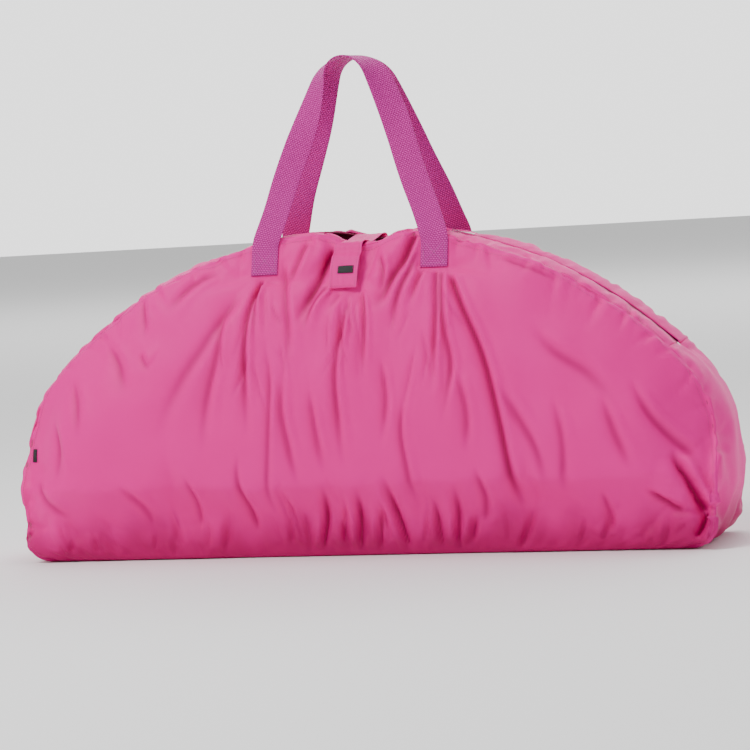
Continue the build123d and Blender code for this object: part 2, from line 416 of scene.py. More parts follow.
def makeNylon(name, shade=1.0):
    material, tree, shader = newMaterial(name)
    spot = objectSpot(tree)
    cloud = noiseOf(tree, spot, nylonLook["cloudScale"], 3.0)
    fine = noiseOf(tree, spot, nylonLook["crumpleScale"], 4.0)
    color, deep, pale = (tuple(c * shade for c in nylonLook[key]) for key in ("color", "shadeAndGapColor", "paleColor"))
    base = mixColors(tree, mapRange(tree, cloud, 0.0, nylonLook["cloudShare"], 0.36, 0.66), color, pale)
    # painted shade: the nylon goes towards the shade colour in fold bottoms and low on the bag
    darker = mathNode(tree, "MULTIPLY", attributeOf(tree, "paintedShade"), nylonLook["paintedShadeShare"])
    base = mixColors(tree, darker, base, deep)
    worn = mathNode(tree, "MULTIPLY", attributeOf(tree, "edgeWear"),
                    mathNode(tree, "MULTIPLY", fine, nylonLook["wearShare"]))
    base = mixColors(tree, worn, base, pale)
    threads = weaveHeight(tree, clothSpot(tree), nylonLook["threadPitch"] * 2, nylonLook["threadPitch"])
    shadeThreads = mathNode(tree, "MULTIPLY", mathNode(tree, "SUBTRACT", 1.0, threads), nylonLook["threadShade"])
    crumple = bumpNode(tree, fine, 0.35, 0.0006)
    fillInputs(tree, shader, {
        "Base Color": mixColors(tree, shadeThreads, base, deep),
        "Roughness": mapRange(tree, fine, nylonLook["roughness"] - 0.06, nylonLook["roughness"] + 0.08),
        "Sheen Weight": nylonLook["sheen"],
        "Sheen Roughness": 0.45,
        "Sheen Tint": (1.0, 0.35, 0.65),
        "Specular IOR Level": 0.16,
        "Normal": bumpNode(tree, threads, nylonLook["weaveStrength"], 0.00012, crumple),
    })
    return material


webbingLook = {
    "color": (0.84, 0.03, 0.47),
    "gapColor": (0.34, 0.008, 0.16),
    "tipColor": (0.92, 0.12, 0.62),
    "cellWide": 0.0038,
    "cellTall": 0.0026,
    "gap": 0.48,
    "strandScale": 420.0,
    "tipShare": 0.55,
    "spotShare": 0.22,
}


def makeWebbing(name):
    material, tree, shader = newMaterial(name)
    spot = clothSpot(tree)
    threads = weaveHeight(tree, spot, webbingLook["cellWide"], webbingLook["cellTall"], webbingLook["gap"])
    strands = diagonalWave(tree, spot, webbingLook["strandScale"], 1.2)
    spotty = noiseOf(tree, spot, 260.0)
    base = mixColors(tree, threads, webbingLook["gapColor"], webbingLook["color"])
    tips = mathNode(tree, "MULTIPLY", mathNode(tree, "MULTIPLY", threads, strands), webbingLook["tipShare"])
    base = mixColors(tree, tips, base, webbingLook["tipColor"])
    spots = mathNode(tree, "MULTIPLY", spotty, webbingLook["spotShare"])
    fillInputs(tree, shader, {
        "Base Color": mixColors(tree, spots, base, webbingLook["gapColor"]),
        "Roughness": 0.62,
        "Sheen Weight": 0.08,
        "Sheen Tint": (1.0, 0.6, 0.9),
        "Specular IOR Level": 0.2,
        "Normal": bumpNode(tree, threads, 0.9, 0.0007, bumpNode(tree, strands, 0.3, 0.0002)),
    })
    return material


def makeFineCloth(name, color, gapColor, across, along, roughness, strength=0.5, sheen=0.15):
    # tapes, labels, bindings: a plain fine weave on the piece's own map
    material, tree, shader = newMaterial(name)
    spot = clothSpot(tree)
    threads = weaveHeight(tree, spot, across, along)
    spots = mathNode(tree, "MULTIPLY", noiseOf(tree, spot, 300.0), 0.25)
    fillInputs(tree, shader, {
        "Base Color": mixColors(tree, spots, mixColors(tree, threads, gapColor, color), gapColor),
        "Roughness": roughness,
        "Sheen Weight": sheen,
        "Normal": bumpNode(tree, threads, strength, 0.0002),
    })
    return material


def makeThread(name, color, darkColor):
    # stitches carry a twist that runs round each one
    material, tree, shader = newMaterial(name)
    twist = diagonalWave(tree, objectSpot(tree), 900.0)
    fillInputs(tree, shader, {"Base Color": mixColors(tree, twist, darkColor, color), "Roughness": 0.5,
                              "Normal": bumpNode(tree, twist, 0.4, 0.0001)})
    return material


def makeMoulded(name, color, paleColor):
    material, tree, shader = newMaterial(name)
    cloud = noiseOf(tree, objectSpot(tree), 120.0)
    fillInputs(tree, shader, {"Base Color": mixColors(tree, cloud, color, paleColor), "Roughness": 0.3,
                              "Coat Weight": 0.15, "Normal": bumpNode(tree, cloud, 0.1, 0.0002)})
    return material


def makeZipMetal(name):
    material, tree, shader = newMaterial(name)
    scuff = noiseOf(tree, objectSpot(tree), 700.0, 6.0)
    fillInputs(tree, shader, {
        "Base Color": mixColors(tree, scuff, (0.62, 0.61, 0.6), (0.82, 0.81, 0.79)),
        "Metallic": 1.0,
        "Roughness": mapRange(tree, scuff, 0.18, 0.42),
        "Normal": bumpNode(tree, scuff, 0.08, 0.0002),
    })
    return material


nylon = makeNylon("pinkNylon")
# painted shade: the tab is the same nylon, in a slightly darker copy
tabNylon = makeNylon("pinkNylonShadedCopy", 0.96)
webbing = makeWebbing("orchidWebbing")
zipTapeCloth = makeFineCloth("zipTapeWeave", (0.6, 0.045, 0.2), (0.3, 0.02, 0.1), 0.0016, 0.0008, 0.7)
bindingCloth = makeFineCloth("bindingGrosgrain", (0.6, 0.05, 0.22), (0.34, 0.02, 0.12), 0.004, 0.0009, 0.65)
labelSatin = makeFineCloth("blackLabelSatin", (0.007, 0.007, 0.009), (0.002, 0.002, 0.002), 0.0012, 0.0005,
                           0.6, 0.4, 0.0)
loopPile = makeFineCloth("loopPile", (0.5, 0.035, 0.17), (0.22, 0.012, 0.075), 0.0011, 0.0011, 0.9, 1.0, 0.6)
seamThread = makeThread("pinkThread", (0.74, 0.075, 0.27), (0.42, 0.03, 0.14))
strapThread = makeThread("orchidThread", (0.55, 0.13, 0.4), (0.3, 0.05, 0.2))
coilNylon = makeMoulded("zipCoilNylon", (0.5, 0.03, 0.15), (0.62, 0.06, 0.22))
zipMetal = makeZipMetal("platedZinc")
print("materials made")


# the shell: both panels, the base, the end gussets and the zip strips as one cloth

pieceNames = ["frontPanel", "rearPanel", "basePanel", "leftEndGusset", "rightEndGusset",
              "frontZipStrip", "rearZipStrip"]


def panelGrid():
    # the flat cut of a panel: x along the bag, cut up from the base seam, blended from its four edges
    along, up = bagShape["columnsAlong"], bagShape["rowsUp"]
    u, v = np.linspace(0, 1, along + 1), np.linspace(0, 1, up + 1)

    def edge(runs):
        x, z, outX, outZ = outlineAt(runs)
        return np.stack([x, cutOf(z)], -1)
    bottomX = np.linspace(-1, 1, along + 1) * (bagShape["halfLength"] - bagShape["cornerRadius"])
    bottom = np.stack([bottomX, 0 * bottomX], -1)
    top = edge(np.linspace(-archRun, archRun, along + 1))
    left = edge(np.linspace(-cornerRun, -archRun, up + 1))
    right = edge(np.linspace(cornerRun, archRun, up + 1))
    uu, vv = u[:, None, None], v[None, :, None]
    grid = (1 - vv) * bottom[:, None] + vv * top[:, None] + (1 - uu) * left[None] + uu * right[None]
    grid = grid - ((1 - uu) * (1 - vv) * bottom[0] + uu * (1 - vv) * bottom[-1]
                   + (1 - uu) * vv * top[0] + uu * vv * top[-1])
    return grid


def panelPoints(grid):
    flat = grid.reshape(-1, 2)
    x, cut = flat.T
    depth, z = heightOf(cut)
    runs = np.linspace(-cornerRun, cornerRun, 420)
    rimX, rimZ, outX, outZ = outlineAt(runs)
    rimCut, width = cutOf(rimZ), rimWidth(runs)
    gapX = x[:, None] - rimX[None]
    gapCut = cut[:, None] - rimCut[None]
    distance = np.sqrt(gapX ** 2 + gapCut ** 2)
    nearest = distance.argmin(axis=1)
    rimGap = distance[np.arange(len(x)), nearest]
    pull = np.clip(bellyDepth(rimZ)[nearest] - width[nearest], 0, None)
    depth = depth - pull * np.exp(-(rimGap / bagShape["rimSoft"]) ** 2)
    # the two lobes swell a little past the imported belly, but not under the handles
    handle = bagShape["handleHalf"]
    handleGap = np.minimum(np.hypot(x - handle, z - 0.4), np.hypot(x + handle, z - 0.4))
    free = 1 - np.exp(-(handleGap / 0.08) ** 2)
    depth = depth + 0.007 * free * smoothStep(rimGap, 0.02, 0.14) * smoothStep(z, 0.02, 0.1)
    return np.stack([x, -depth, z], -1), rimGap


def buildShell():
    along, up, across = bagShape["columnsAlong"], bagShape["rowsUp"], bagShape["columnsAcross"]
    grid = panelGrid()
    front, rimGap = panelPoints(grid)
    index = np.arange((along + 1) * (up + 1)).reshape(along + 1, up + 1)
    # the rim, station by station, starting at the left shoulder and going over the top
    stations = [(index[i, up], -archRun + 2 * archRun * i / along) for i in range(along)]
    stations += [(index[along, j], archRun + (cornerRun - archRun) * (1 - j / up)) for j in range(up, 0, -1)]
    stations += [(index[i, 0], cornerRun + (baseRun - cornerRun) * 2 * (1 - i / along)) for i in range(along, 0, -1)]
    stations += [(index[0, j], -cornerRun + (cornerRun - archRun) * j / up) for j in range(0, up)]
    rimIndex = np.array([s[0] for s in stations])
    rimRun = np.array([s[1] for s in stations])
    wrapped = np.where(rimRun > baseRun, rimRun - 2 * baseRun, rimRun)
    x, z, outX, outZ = outlineAt(wrapped)
    width = rimWidth(wrapped)
    half = len(front)
    points = [front, front * (1, -1, 1)]
    flats = grid.reshape(-1, 2)
    front[rimIndex] = np.stack([x, -width, z], -1)
    points[1][rimIndex] = np.stack([x, width, z], -1)
    zipAngle = math.radians(bagShape["zipAngle"])
    onZip = np.abs(wrapped) <= bagShape["archRadius"] * zipAngle
    inner = mouthHalfWidth(x) + bagShape["tapeEdge"] - 0.002
    onEnds = smoothStep(np.abs(x), 0.4, 0.49) * smoothStep(z, 0.0, 0.07)
    columns, offset = [], 2 * half
    for j in range(2 * across):
        share = (j + 1) / across if j < across else (2 * across - 1 - j + 1) / across
        sign = -1 if j < across else 1
        y = width + (inner - width) * share
        puff = 0.0035 * np.sin(math.pi * share * 0.9) * (np.abs(wrapped) < archRun)
        puff = puff + 0.007 * onEnds * (1 - (y / width) ** 2)
        columns.append(np.stack([x + outX * puff, sign * y, z + outZ * puff], -1))
    points = np.concatenate(points + columns)
    count = len(stations)

    def column(j):
        if j == 0:
            return rimIndex
        if j == 2 * across + 1:
            return rimIndex + half
        return offset + (j - 1) * count + np.arange(count)
    columnPoints = [column(j) for j in range(2 * across + 2)]
    columnSides = [points[offset + j * count:offset + (j + 1) * count, 1] for j in range(2 * across)]
    columnSides = [-width] + columnSides + [width]
    faces, tags, maps = [], [], []
    for i in range(along):
        for j in range(up):
            a, b, c, d = index[i, j], index[i + 1, j], index[i + 1, j + 1], index[i, j + 1]
            faces += [(a, b, c, d), (a + half, d + half, c + half, b + half)]
            tags += [0, 1]
            maps += [[flats[v] for v in (a, b, c, d)], [flats[v] for v in (a, d, c, b)]]
    for s in range(count):
        t = (s + 1) % count
        middle = 0.5 * (rimRun[s] + (rimRun[t] if t else 2 * baseRun + rimRun[0]))
        run = middle - 2 * baseRun if middle > baseRun else middle
        if abs(run) > cornerRun:
            tag = 2
        elif onZip[s] and onZip[t]:
            tag = 5
        else:
            tag = 3 if run < 0 else 4
        for j in range(2 * across + 1):
            if tag == 5 and j == across:
                continue
            first, second = columnPoints[j], columnPoints[j + 1]
            faces.append((first[s], first[t], second[t], second[s]))
            tags.append(6 if tag == 5 and j > across else tag)
            runs = [wrapped[s], wrapped[t]]
            if tag == 2:
                runs = [r + 2 * baseRun if r < 0 else r for r in runs]
            near, far = columnSides[j], columnSides[j + 1]
            maps.append([(runs[0], near[s]), (runs[1], near[t]), (runs[1], far[t]), (runs[0], far[s])])
    gaps = np.concatenate([rimGap, rimGap] + [np.full(count, 1.0)] * (2 * across))
    gaps[rimIndex] = 0
    gaps[rimIndex + half] = 0
    zipEdge = np.concatenate([column(across)[onZip], column(across + 1)[onZip]])
    return {"points": points, "faces": faces, "tags": tags, "maps": maps, "rimGap": gaps,
            "rim": np.concatenate([rimIndex, rimIndex + half]), "zipEdge": zipEdge, "panelSize": half}


shell = buildShell()
shell["points"] = settle(shell["points"])
print("shell cloth:", len(shell["points"]), "points,", len(shell["faces"]), "faces")

clothMove = {
    "frames": 22,
    "pressure": 2.2,
    "growth": 0.035,       # the cloth is cut this much larger than the space it fills
    "farthest": 0.011,     # no point goes further than this
    "seamHold": 0.55,
    "tuck": 0.021,         # how far the belly turns in under itself, low down
    "tuckHeight": 0.105,
    "widest": 0.128,       # the belly is eased back past this
    "widestSoft": 0.006,
}
clothStuff = {
    "quality": 6,
    "mass": 0.12,
    "tension_stiffness": 18,
    "compression_stiffness": 12,
    "shear_stiffness": 6,
    "bending_stiffness": 0.12,
}


def relaxShell(shell):
    # pressure fills the shell out, and its spare cloth puckers along the seams, the zip and the handles
    piece = newPiece("shellCloth", shell["points"], shell["faces"], nylon)
    x, y, z = shell["points"].T
    hold = np.zeros(len(x))
    hold[shell["rim"]] = clothMove["seamHold"]
    hold[shell["zipEdge"]] = 1.0
    hold[z < 0.003] = 1.0
    nearTab = np.exp(-(np.maximum(np.abs(x) - 0.015, 0) / 0.01) ** 2) * smoothStep(z, 0.34, 0.37) * (np.abs(y) > 0.04)
    hold = np.maximum(hold, np.maximum(underHandles(x, z, 0.017, 0.01, 0.012), nearTab))
    group = piece.vertex_groups.new(name="held")
    for level in range(1, 21):
        chosen = np.where(np.round(hold * 20) == level)[0]
        if len(chosen):
            group.add(chosen.tolist(), level / 20, "REPLACE")
    cloth = piece.modifiers.new("cloth", "CLOTH")
    settings = cloth.settings
    for key, value in clothStuff.items():
        setattr(settings, key, value)
    settings.vertex_group_mass = "held"
    settings.pin_stiffness = 1.0
    settings.shrink_min = -clothMove["growth"]
    settings.use_pressure = True
    settings.uniform_pressure_force = clothMove["pressure"]
    settings.effector_weights.gravity = 0.0
    cloth.collision_settings.use_collision = False
    cloth.collision_settings.use_self_collision = False
    cloth.point_cache.frame_start = 1
    cloth.point_cache.frame_end = clothMove["frames"]
    for number in range(1, clothMove["frames"] + 1):
        bpy.context.scene.frame_set(number)
    solved = bpy.data.meshes.new_from_object(piece.evaluated_get(bpy.context.evaluated_depsgraph_get()))
    moved = meshArrays(solved)[0]
    bpy.context.scene.frame_set(1)
    bpy.data.objects.remove(piece)
    step = moved - shell["points"]
    length = np.linalg.norm(step, axis=1)
    limit = clothMove["farthest"]
    step *= (limit * np.tanh(length / limit) / np.maximum(length, 1e-9))[:, None]
    print("cloth settled: mean move", round(float(length.mean()), 4), "largest", round(float(length.max()), 4))
    return shell["points"] + step


def tuckUnder(points):
    # the filled belly hangs over its own base on all four sides
    x, y, z = points.T
    tuck = clothMove["tuck"] * np.sin(math.pi * np.clip(z / clothMove["tuckHeight"], 0, 1)) ** 1.2
    points[:, 1] -= np.sign(y) * tuck * np.clip(np.abs(y) / 0.1, 0, 1)
    points[:, 0] -= np.sign(x) * 0.15 * tuck * smoothStep(np.abs(x), 0.42, 0.48)
    return points


shell["points"] = relaxShell(shell)
shell["points"] = tuckUnder(shell["points"])


# folds: each is (points as x, z), width, depth, and how much of its start and end fades out

frontFolds = [
    ([(-0.122, 0.378), (-0.136, 0.328), (-0.140, 0.25), (-0.137, 0.16)], 0.0055, 0.0062, 0.02, 0.45),
    ([(-0.126, 0.370), (-0.127, 0.33), (-0.124, 0.285)], 0.0040, 0.0048, 0.02, 0.6),
    ([(-0.151, 0.150), (-0.154, 0.11), (-0.146, 0.06), (-0.142, 0.02)], 0.0060, 0.0046, 0.4, 0.2),
    ([(-0.112, 0.30), (-0.104, 0.24), (-0.108, 0.16), (-0.113, 0.09), (-0.112, 0.04)], 0.0050, 0.0040, 0.3, 0.3),
    ([(0.006, 0.35), (-0.004, 0.30), (-0.012, 0.25), (-0.008, 0.17), (0.0, 0.11)], 0.0055, 0.0052, 0.15, 0.4),
    ([(0.022, 0.36), (0.029, 0.31), (0.027, 0.23)], 0.0042, 0.0052, 0.1, 0.5),
    ([(-0.020, 0.425), (-0.031, 0.395), (-0.040, 0.368), (-0.056, 0.335), (-0.068, 0.305)],
     0.0085, 0.0100, 0.02, 0.4),
    ([(-0.027, 0.365), (-0.045, 0.338), (-0.058, 0.30)], 0.0050, 0.0050, 0.1, 0.5),
    ([(0.094, 0.430), (0.080, 0.398), (0.060, 0.36), (0.042, 0.322)], 0.0095, 0.0110, 0.02, 0.45),
    ([(0.098, 0.405), (0.086, 0.37), (0.072, 0.335), (0.066, 0.29)], 0.0060, 0.0060, 0.05, 0.5),
    ([(0.108, 0.38), (0.100, 0.36), (0.092, 0.33)], 0.0045, 0.0042, 0.05, 0.5),
    ([(0.124, 0.378), (0.127, 0.33), (0.125, 0.26), (0.122, 0.21)], 0.0045, 0.0050, 0.02, 0.5),
    ([(0.131, 0.376), (0.137, 0.31), (0.148, 0.255), (0.142, 0.21), (0.134, 0.17)], 0.0052, 0.0054, 0.02, 0.4),
    ([(0.142, 0.375), (0.162, 0.328), (0.190, 0.265), (0.211, 0.18), (0.224, 0.09), (0.232, 0.04)],
     0.0065, 0.0078, 0.05, 0.2),
    ([(0.084, 0.22), (0.078, 0.165), (0.084, 0.11), (0.089, 0.06)], 0.0055, 0.0045, 0.3, 0.3),
    ([(0.282, 0.21), (0.295, 0.15), (0.294, 0.075)], 0.0070, 0.0040, 0.4, 0.3),
    ([(0.345, 0.21), (0.362, 0.16), (0.386, 0.105)], 0.0070, 0.0042, 0.4, 0.4),
    ([(0.205, 0.235), (0.232, 0.19), (0.262, 0.13), (0.272, 0.08)], 0.0080, 0.0045, 0.4, 0.35),
    ([(0.252, 0.30), (0.285, 0.265), (0.33, 0.235), (0.372, 0.19)], 0.0095, 0.0036, 0.35, 0.45),
    ([(0.20, 0.395), (0.245, 0.375), (0.30, 0.352)], 0.0050, 0.0034, 0.3, 0.4),
    ([(-0.18, 0.392), (-0.225, 0.365), (-0.255, 0.33)], 0.0070, 0.0040, 0.3, 0.45),
    ([(-0.085, 0.26), (-0.088, 0.20), (-0.078, 0.14), (-0.066, 0.09)], 0.0060, 0.0044, 0.35, 0.35),
    ([(-0.05, 0.235), (-0.042, 0.17), (-0.03, 0.11)], 0.0060, 0.0040, 0.35, 0.4),
    ([(-0.17, 0.345), (-0.178, 0.28), (-0.196, 0.21), (-0.20, 0.14)], 0.0075, 0.0042, 0.2, 0.45),
    ([(0.052, 0.27), (0.058, 0.205), (0.05, 0.15)], 0.0055, 0.0040, 0.35, 0.4),
    ([(0.155, 0.25), (0.168, 0.19), (0.165, 0.13)], 0.0065, 0.0042, 0.35, 0.4),
    ([(-0.43, 0.20), (-0.415, 0.155), (-0.42, 0.11)], 0.0080, 0.0034, 0.35, 0.45),
    ([(-0.35, 0.30), (-0.325, 0.27), (-0.31, 0.225)], 0.0085, 0.0034, 0.35, 0.45),
    ([(0.38, 0.225), (0.405, 0.18), (0.437, 0.145), (0.468, 0.118)], 0.0062, 0.0046, 0.35, 0.2),
    ([(-0.297, 0.36), (-0.29, 0.335), (-0.284, 0.30)], 0.0055, 0.0036, 0.3, 0.5),
    ([(-0.292, 0.285), (-0.284, 0.27), (-0.274, 0.262)], 0.0050, 0.0030, 0.3, 0.4),
    ([(-0.145, 0.36), (-0.19, 0.30), (-0.235, 0.235), (-0.27, 0.16)], 0.0110, 0.0036, 0.15, 0.5),
    ([(-0.40, 0.255), (-0.385, 0.21), (-0.38, 0.165)], 0.0090, 0.0030, 0.35, 0.5),
    ([(-0.46, 0.12), (-0.44, 0.085), (-0.40, 0.06)], 0.0080, 0.0036, 0.25, 0.45),
    ([(-0.33, 0.11), (-0.30, 0.07), (-0.29, 0.03)], 0.0080, 0.0034, 0.4, 0.25),
    ([(-0.23, 0.12), (-0.222, 0.07), (-0.225, 0.03)], 0.0070, 0.0036, 0.4, 0.25),
    ([(0.432, 0.135), (0.450, 0.098), (0.466, 0.068), (0.477, 0.048)], 0.0070, 0.0130, 0.35, 0.08),
    ([(0.477, 0.048), (0.470, 0.030), (0.458, 0.014)], 0.0062, 0.0120, 0.05, 0.25),
    ([(0.395, 0.085), (0.425, 0.062), (0.452, 0.052)], 0.0070, 0.0062, 0.35, 0.25),
    ([(0.045, 0.415), (0.052, 0.38), (0.045, 0.345)], 0.0050, 0.0044, 0.1, 0.5),
    ([(-0.06, 0.425), (-0.072, 0.395), (-0.088, 0.36)], 0.0060, 0.0046, 0.05, 0.5),
    ([(-0.095, 0.40), (-0.085, 0.35), (-0.078, 0.30), (-0.08, 0.24)], 0.0065, 0.0040, 0.1, 0.5),
    ([(0.175, 0.12), (0.182, 0.075), (0.176, 0.03)], 0.0065, 0.0040, 0.35, 0.2),
    ([(0.34, 0.085), (0.345, 0.05), (0.35, 0.02)], 0.0065, 0.0036, 0.35, 0.2),
]
# short gathers where the cloth turns under: x, how high they reach, depth
baseGathers = [
    (-0.072, 0.06, 0.0034), (-0.045, 0.09, 0.0046), (-0.02, 0.05, 0.0036), (0.004, 0.085, 0.0050),
    (0.031, 0.06, 0.0042), (0.057, 0.10, 0.0052), (0.112, 0.07, 0.0046), (0.139, 0.085, 0.0042),
    (0.157, 0.05, 0.0034), (0.232, 0.055, 0.0032),
    (-0.19, 0.05, 0.0030), (-0.265, 0.04, 0.0026), (0.42, 0.045, 0.0030), (-0.36, 0.045, 0.0026),
]
rearFolds = [
    ([(-0.124, 0.378), (-0.13, 0.32), (-0.126, 0.25), (-0.13, 0.18)], 0.0055, 0.0056, 0.02, 0.45),
    ([(-0.105, 0.378), (-0.09, 0.33), (-0.083, 0.27)], 0.0060, 0.0048, 0.05, 0.5),
    ([(-0.14, 0.375), (-0.175, 0.31), (-0.21, 0.23), (-0.23, 0.13)], 0.0085, 0.0048, 0.05, 0.4),
    ([(0.122, 0.378), (0.13, 0.32), (0.138, 0.25), (0.132, 0.17)], 0.0055, 0.0058, 0.02, 0.45),
    ([(0.108, 0.378), (0.092, 0.34), (0.08, 0.28), (0.075, 0.21)], 0.0058, 0.0050, 0.05, 0.5),
    ([(0.142, 0.375), (0.18, 0.32), (0.225, 0.26), (0.26, 0.19)], 0.0090, 0.0044, 0.05, 0.5),
    ([(0.0, 0.38), (0.004, 0.32), (-0.004, 0.24), (0.0, 0.16)], 0.0060, 0.0046, 0.1, 0.5),
    ([(-0.034, 0.38), (-0.048, 0.33), (-0.05, 0.28)], 0.0055, 0.0044, 0.1, 0.5),
    ([(0.03, 0.375), (0.042, 0.33), (0.04, 0.27)], 0.0052, 0.0040, 0.1, 0.5),
    ([(-0.38, 0.23), (-0.40, 0.17), (-0.43, 0.12)], 0.0080, 0.0040, 0.35, 0.35),
    ([(0.37, 0.24), (0.385, 0.19), (0.41, 0.13)], 0.0080, 0.0040, 0.35, 0.35),
    ([(-0.28, 0.17), (-0.285, 0.11), (-0.28, 0.05)], 0.0075, 0.0036, 0.4, 0.25),
    ([(0.28, 0.15), (0.275, 0.1), (0.28, 0.04)], 0.0075, 0.0036, 0.4, 0.25),
    ([(0.465, 0.11), (0.45, 0.07), (0.42, 0.04)], 0.0070, 0.0044, 0.3, 0.3),
    ([(-0.47, 0.10), (-0.455, 0.07), (-0.43, 0.045)], 0.0070, 0.0044, 0.3, 0.3),
    ([(-0.28, 0.33), (-0.305, 0.28), (-0.35, 0.23)], 0.0080, 0.0042, 0.3, 0.4),
    ([(0.20, 0.37), (0.245, 0.34), (0.30, 0.31)], 0.0070, 0.0040, 0.3, 0.4),
    ([(-0.072, 0.30), (-0.078, 0.22), (-0.066, 0.14)], 0.0060, 0.0048, 0.3, 0.4),
    ([(0.052, 0.24), (0.064, 0.17), (0.058, 0.10)], 0.0060, 0.0046, 0.3, 0.4),
    ([(0.175, 0.22), (0.198, 0.16), (0.204, 0.09)], 0.0068, 0.0048, 0.3, 0.35),
    ([(-0.172, 0.20), (-0.19, 0.13), (-0.186, 0.07)], 0.0068, 0.0048, 0.3, 0.35),
    ([(0.32, 0.30), (0.345, 0.25), (0.39, 0.22)], 0.0080, 0.0040, 0.3, 0.4),
    ([(-0.16, 0.385), (-0.20, 0.37), (-0.245, 0.34)], 0.0062, 0.0040, 0.2, 0.45),
]


def foldField(x, z, folds):
    # a narrow valley along each fold, a crisp ridge on one side of it and a long slope beyond the ridge
    move, shade = np.zeros(len(x)), np.zeros(len(x))
    for path, width, depth, fadeIn, fadeOut in folds:
        path = np.array(path)
        fine = np.array([catmull(path, t) for t in np.linspace(0, len(path) - 1, 7 * (len(path) - 1) + 1)])
        margin = 10 * width
        low, high = fine.min(axis=0) - margin, fine.max(axis=0) + margin
        near = np.where((x > low[0]) & (x < high[0]) & (z > low[1]) & (z < high[1]))[0]
        if not len(near):
            continue
        steps = np.diff(fine, axis=0)
        lengths = np.linalg.norm(steps, axis=1)
        along = np.r_[0, np.cumsum(lengths)] / lengths.sum()
        dx, dz = x[near, None] - fine[None, :-1, 0], z[near, None] - fine[None, :-1, 1]
        t = np.clip((dx * steps[:, 0] + dz * steps[:, 1]) / lengths ** 2, 0, 1)
        gaps = np.hypot(dx - t * steps[:, 0], dz - t * steps[:, 1])
        k = gaps.argmin(axis=1)
        row = np.arange(len(near))
        turn = (steps[k, 0] * dz[row, k] - steps[k, 1] * dx[row, k]) / lengths[k]
        share = along[k] + t[row, k] * (along[k + 1] - along[k])
        fade = smoothStep(share, 0, max(fadeIn, 0.01)) * (1 - smoothStep(share, 1 - fadeOut, 1.0))
        place = gaps[row, k] * np.sign(turn) / (width * (0.8 + 0.5 * share))
        shape = (0.66 * np.exp(-((place - 1.35) / 1.0) ** 2) + 0.32 * np.exp(-((place - 3.6) / 2.5) ** 2)
                 + 0.22 * np.exp(-((place + 2.6) / 1.9) ** 2) - np.exp(-(np.abs(place + 0.2) / 0.8) ** 1.5))
        move[near] += depth * fade * shape
        # painted shade in the fold's valley, carried to the colour
        dark = fade * min(depth / 0.006, 1.2) * np.exp(-((place + 0.2) / 0.6) ** 2)
        shade[near] = np.maximum(shade[near], dark)
    return move, shade


def looseCreases(seed, centres, amount):
    # light creases that fan down from where the cloth is held, and up from the base
    source = np.random.default_rng(seed)
    folds = []
    for centreX, centreZ, spread in centres:
        for again in range(amount):
            angle, start = source.uniform(-spread, spread), source.uniform(0.012, 0.11)
            length, bend = source.uniform(0.03, 0.11), source.uniform(-0.25, 0.25)
            path = []
            for far in (0, 0.5, 1.0):
                reach, turn = start + length * far, angle + bend * far
                path.append((centreX + reach * math.sin(turn), centreZ - reach * math.cos(turn)))
            folds.append((path, source.uniform(0.0026, 0.0046), source.uniform(0.0008, 0.0024), 0.3, 0.45))
    for again in range(3 * amount):
        x, height = source.uniform(-0.43, 0.43), source.uniform(0.045, 0.12)
        height *= 0.55 + 0.45 * math.exp(-(x / 0.2) ** 2)
        lean = source.uniform(-0.2, 0.2) + 0.3 * x
        folds.append(([(x, 0.012), (x + lean * 0.4 * height, 0.45 * height), (x + lean * height, height)],
                      source.uniform(0.0034, 0.0058), source.uniform(0.0014, 0.0034), 0.1, 0.5))
    return folds


def catmull(path, t):
    # a smooth curve through the points of a path
    k = int(min(max(math.floor(t), 0), len(path) - 2))
    u = t - k
    before = path[k - 1] if k > 0 else 2 * path[0] - path[1]
    after = path[k + 2] if k + 2 < len(path) else 2 * path[-1] - path[-2]
    a, b = path[k], path[k + 1]
    return 0.5 * (2 * a + (b - before) * u + (2 * before - 5 * a + 4 * b - after) * u ** 2
                  + (3 * a - before - 3 * b + after) * u ** 3)


def softWaves(x, z, phase, size=0.0022):
    # slow unevenness of filled cloth
    wave = (np.sin(21 * x + 9 * z + phase) * np.sin(26 * z - 6 * x + 1.7 * phase)
            + 0.6 * np.sin(37 * x - 23 * z + 2.3 * phase) * np.sin(31 * z + 11 * x + 0.9 * phase)
            + 0.35 * np.sin(71 * x + 37 * z + 3.1 * phase) * np.sin(55 * z - 29 * x + phase))
    return size * wave


def gatherField(x, z, gathers):
    folds = []
    for place, height, depth in gathers:
        lean = 0.12 * math.sin(90 * place) + 0.25 * place
        reach = height * 1.15
        folds.append(([(place - lean * reach, 0.004), (place, 0.4 * reach), (place + lean * reach, reach)],
                      0.0058, depth * 1.5, 0.05, 0.55))
    return foldField(x, z, folds)


def seamPuckers(run, gap, seed, reach=(0.010, 0.032), size=(0.0010, 0.0036)):
    # uneven little tucks where the cloth is eased onto a seam
    source = np.random.default_rng(seed)
    move, place = np.zeros(len(run)), -cornerRun
    while place < cornerRun:
        width, deep, far = source.uniform(0.0035, 0.0065), source.uniform(*size), source.uniform(*reach)
        lean = source.uniform(-0.5, 0.5)
        aside = run + lean * gap - place
        shape = 0.55 * np.exp(-((aside - 2 * width) / (1.6 * width)) ** 2) - np.exp(-(aside / width) ** 2)
        move += deep * shape * np.exp(-(gap / far) ** 2) * smoothStep(gap, 0.0, 0.004)
        place += source.uniform(0.016, 0.05)
    return move


panelRelief = {     # each panel's own folds and gathers, and where its slow waves start
    "frontPanel": (frontFolds, baseGathers, 0.4),
    "rearPanel": (rearFolds, [(-place * 0.93 + 0.02, height, depth) for place, height, depth in baseGathers], 2.6),
}
creaseCentres = [(-0.12, 0.385, 0.55), (0.12, 0.385, 0.6), (0.0, 0.39, 0.35)]     # x, z, spread
baseShade = {
    "amount": 0.92,
    "from": 0.012,
    "to": 0.074,
}


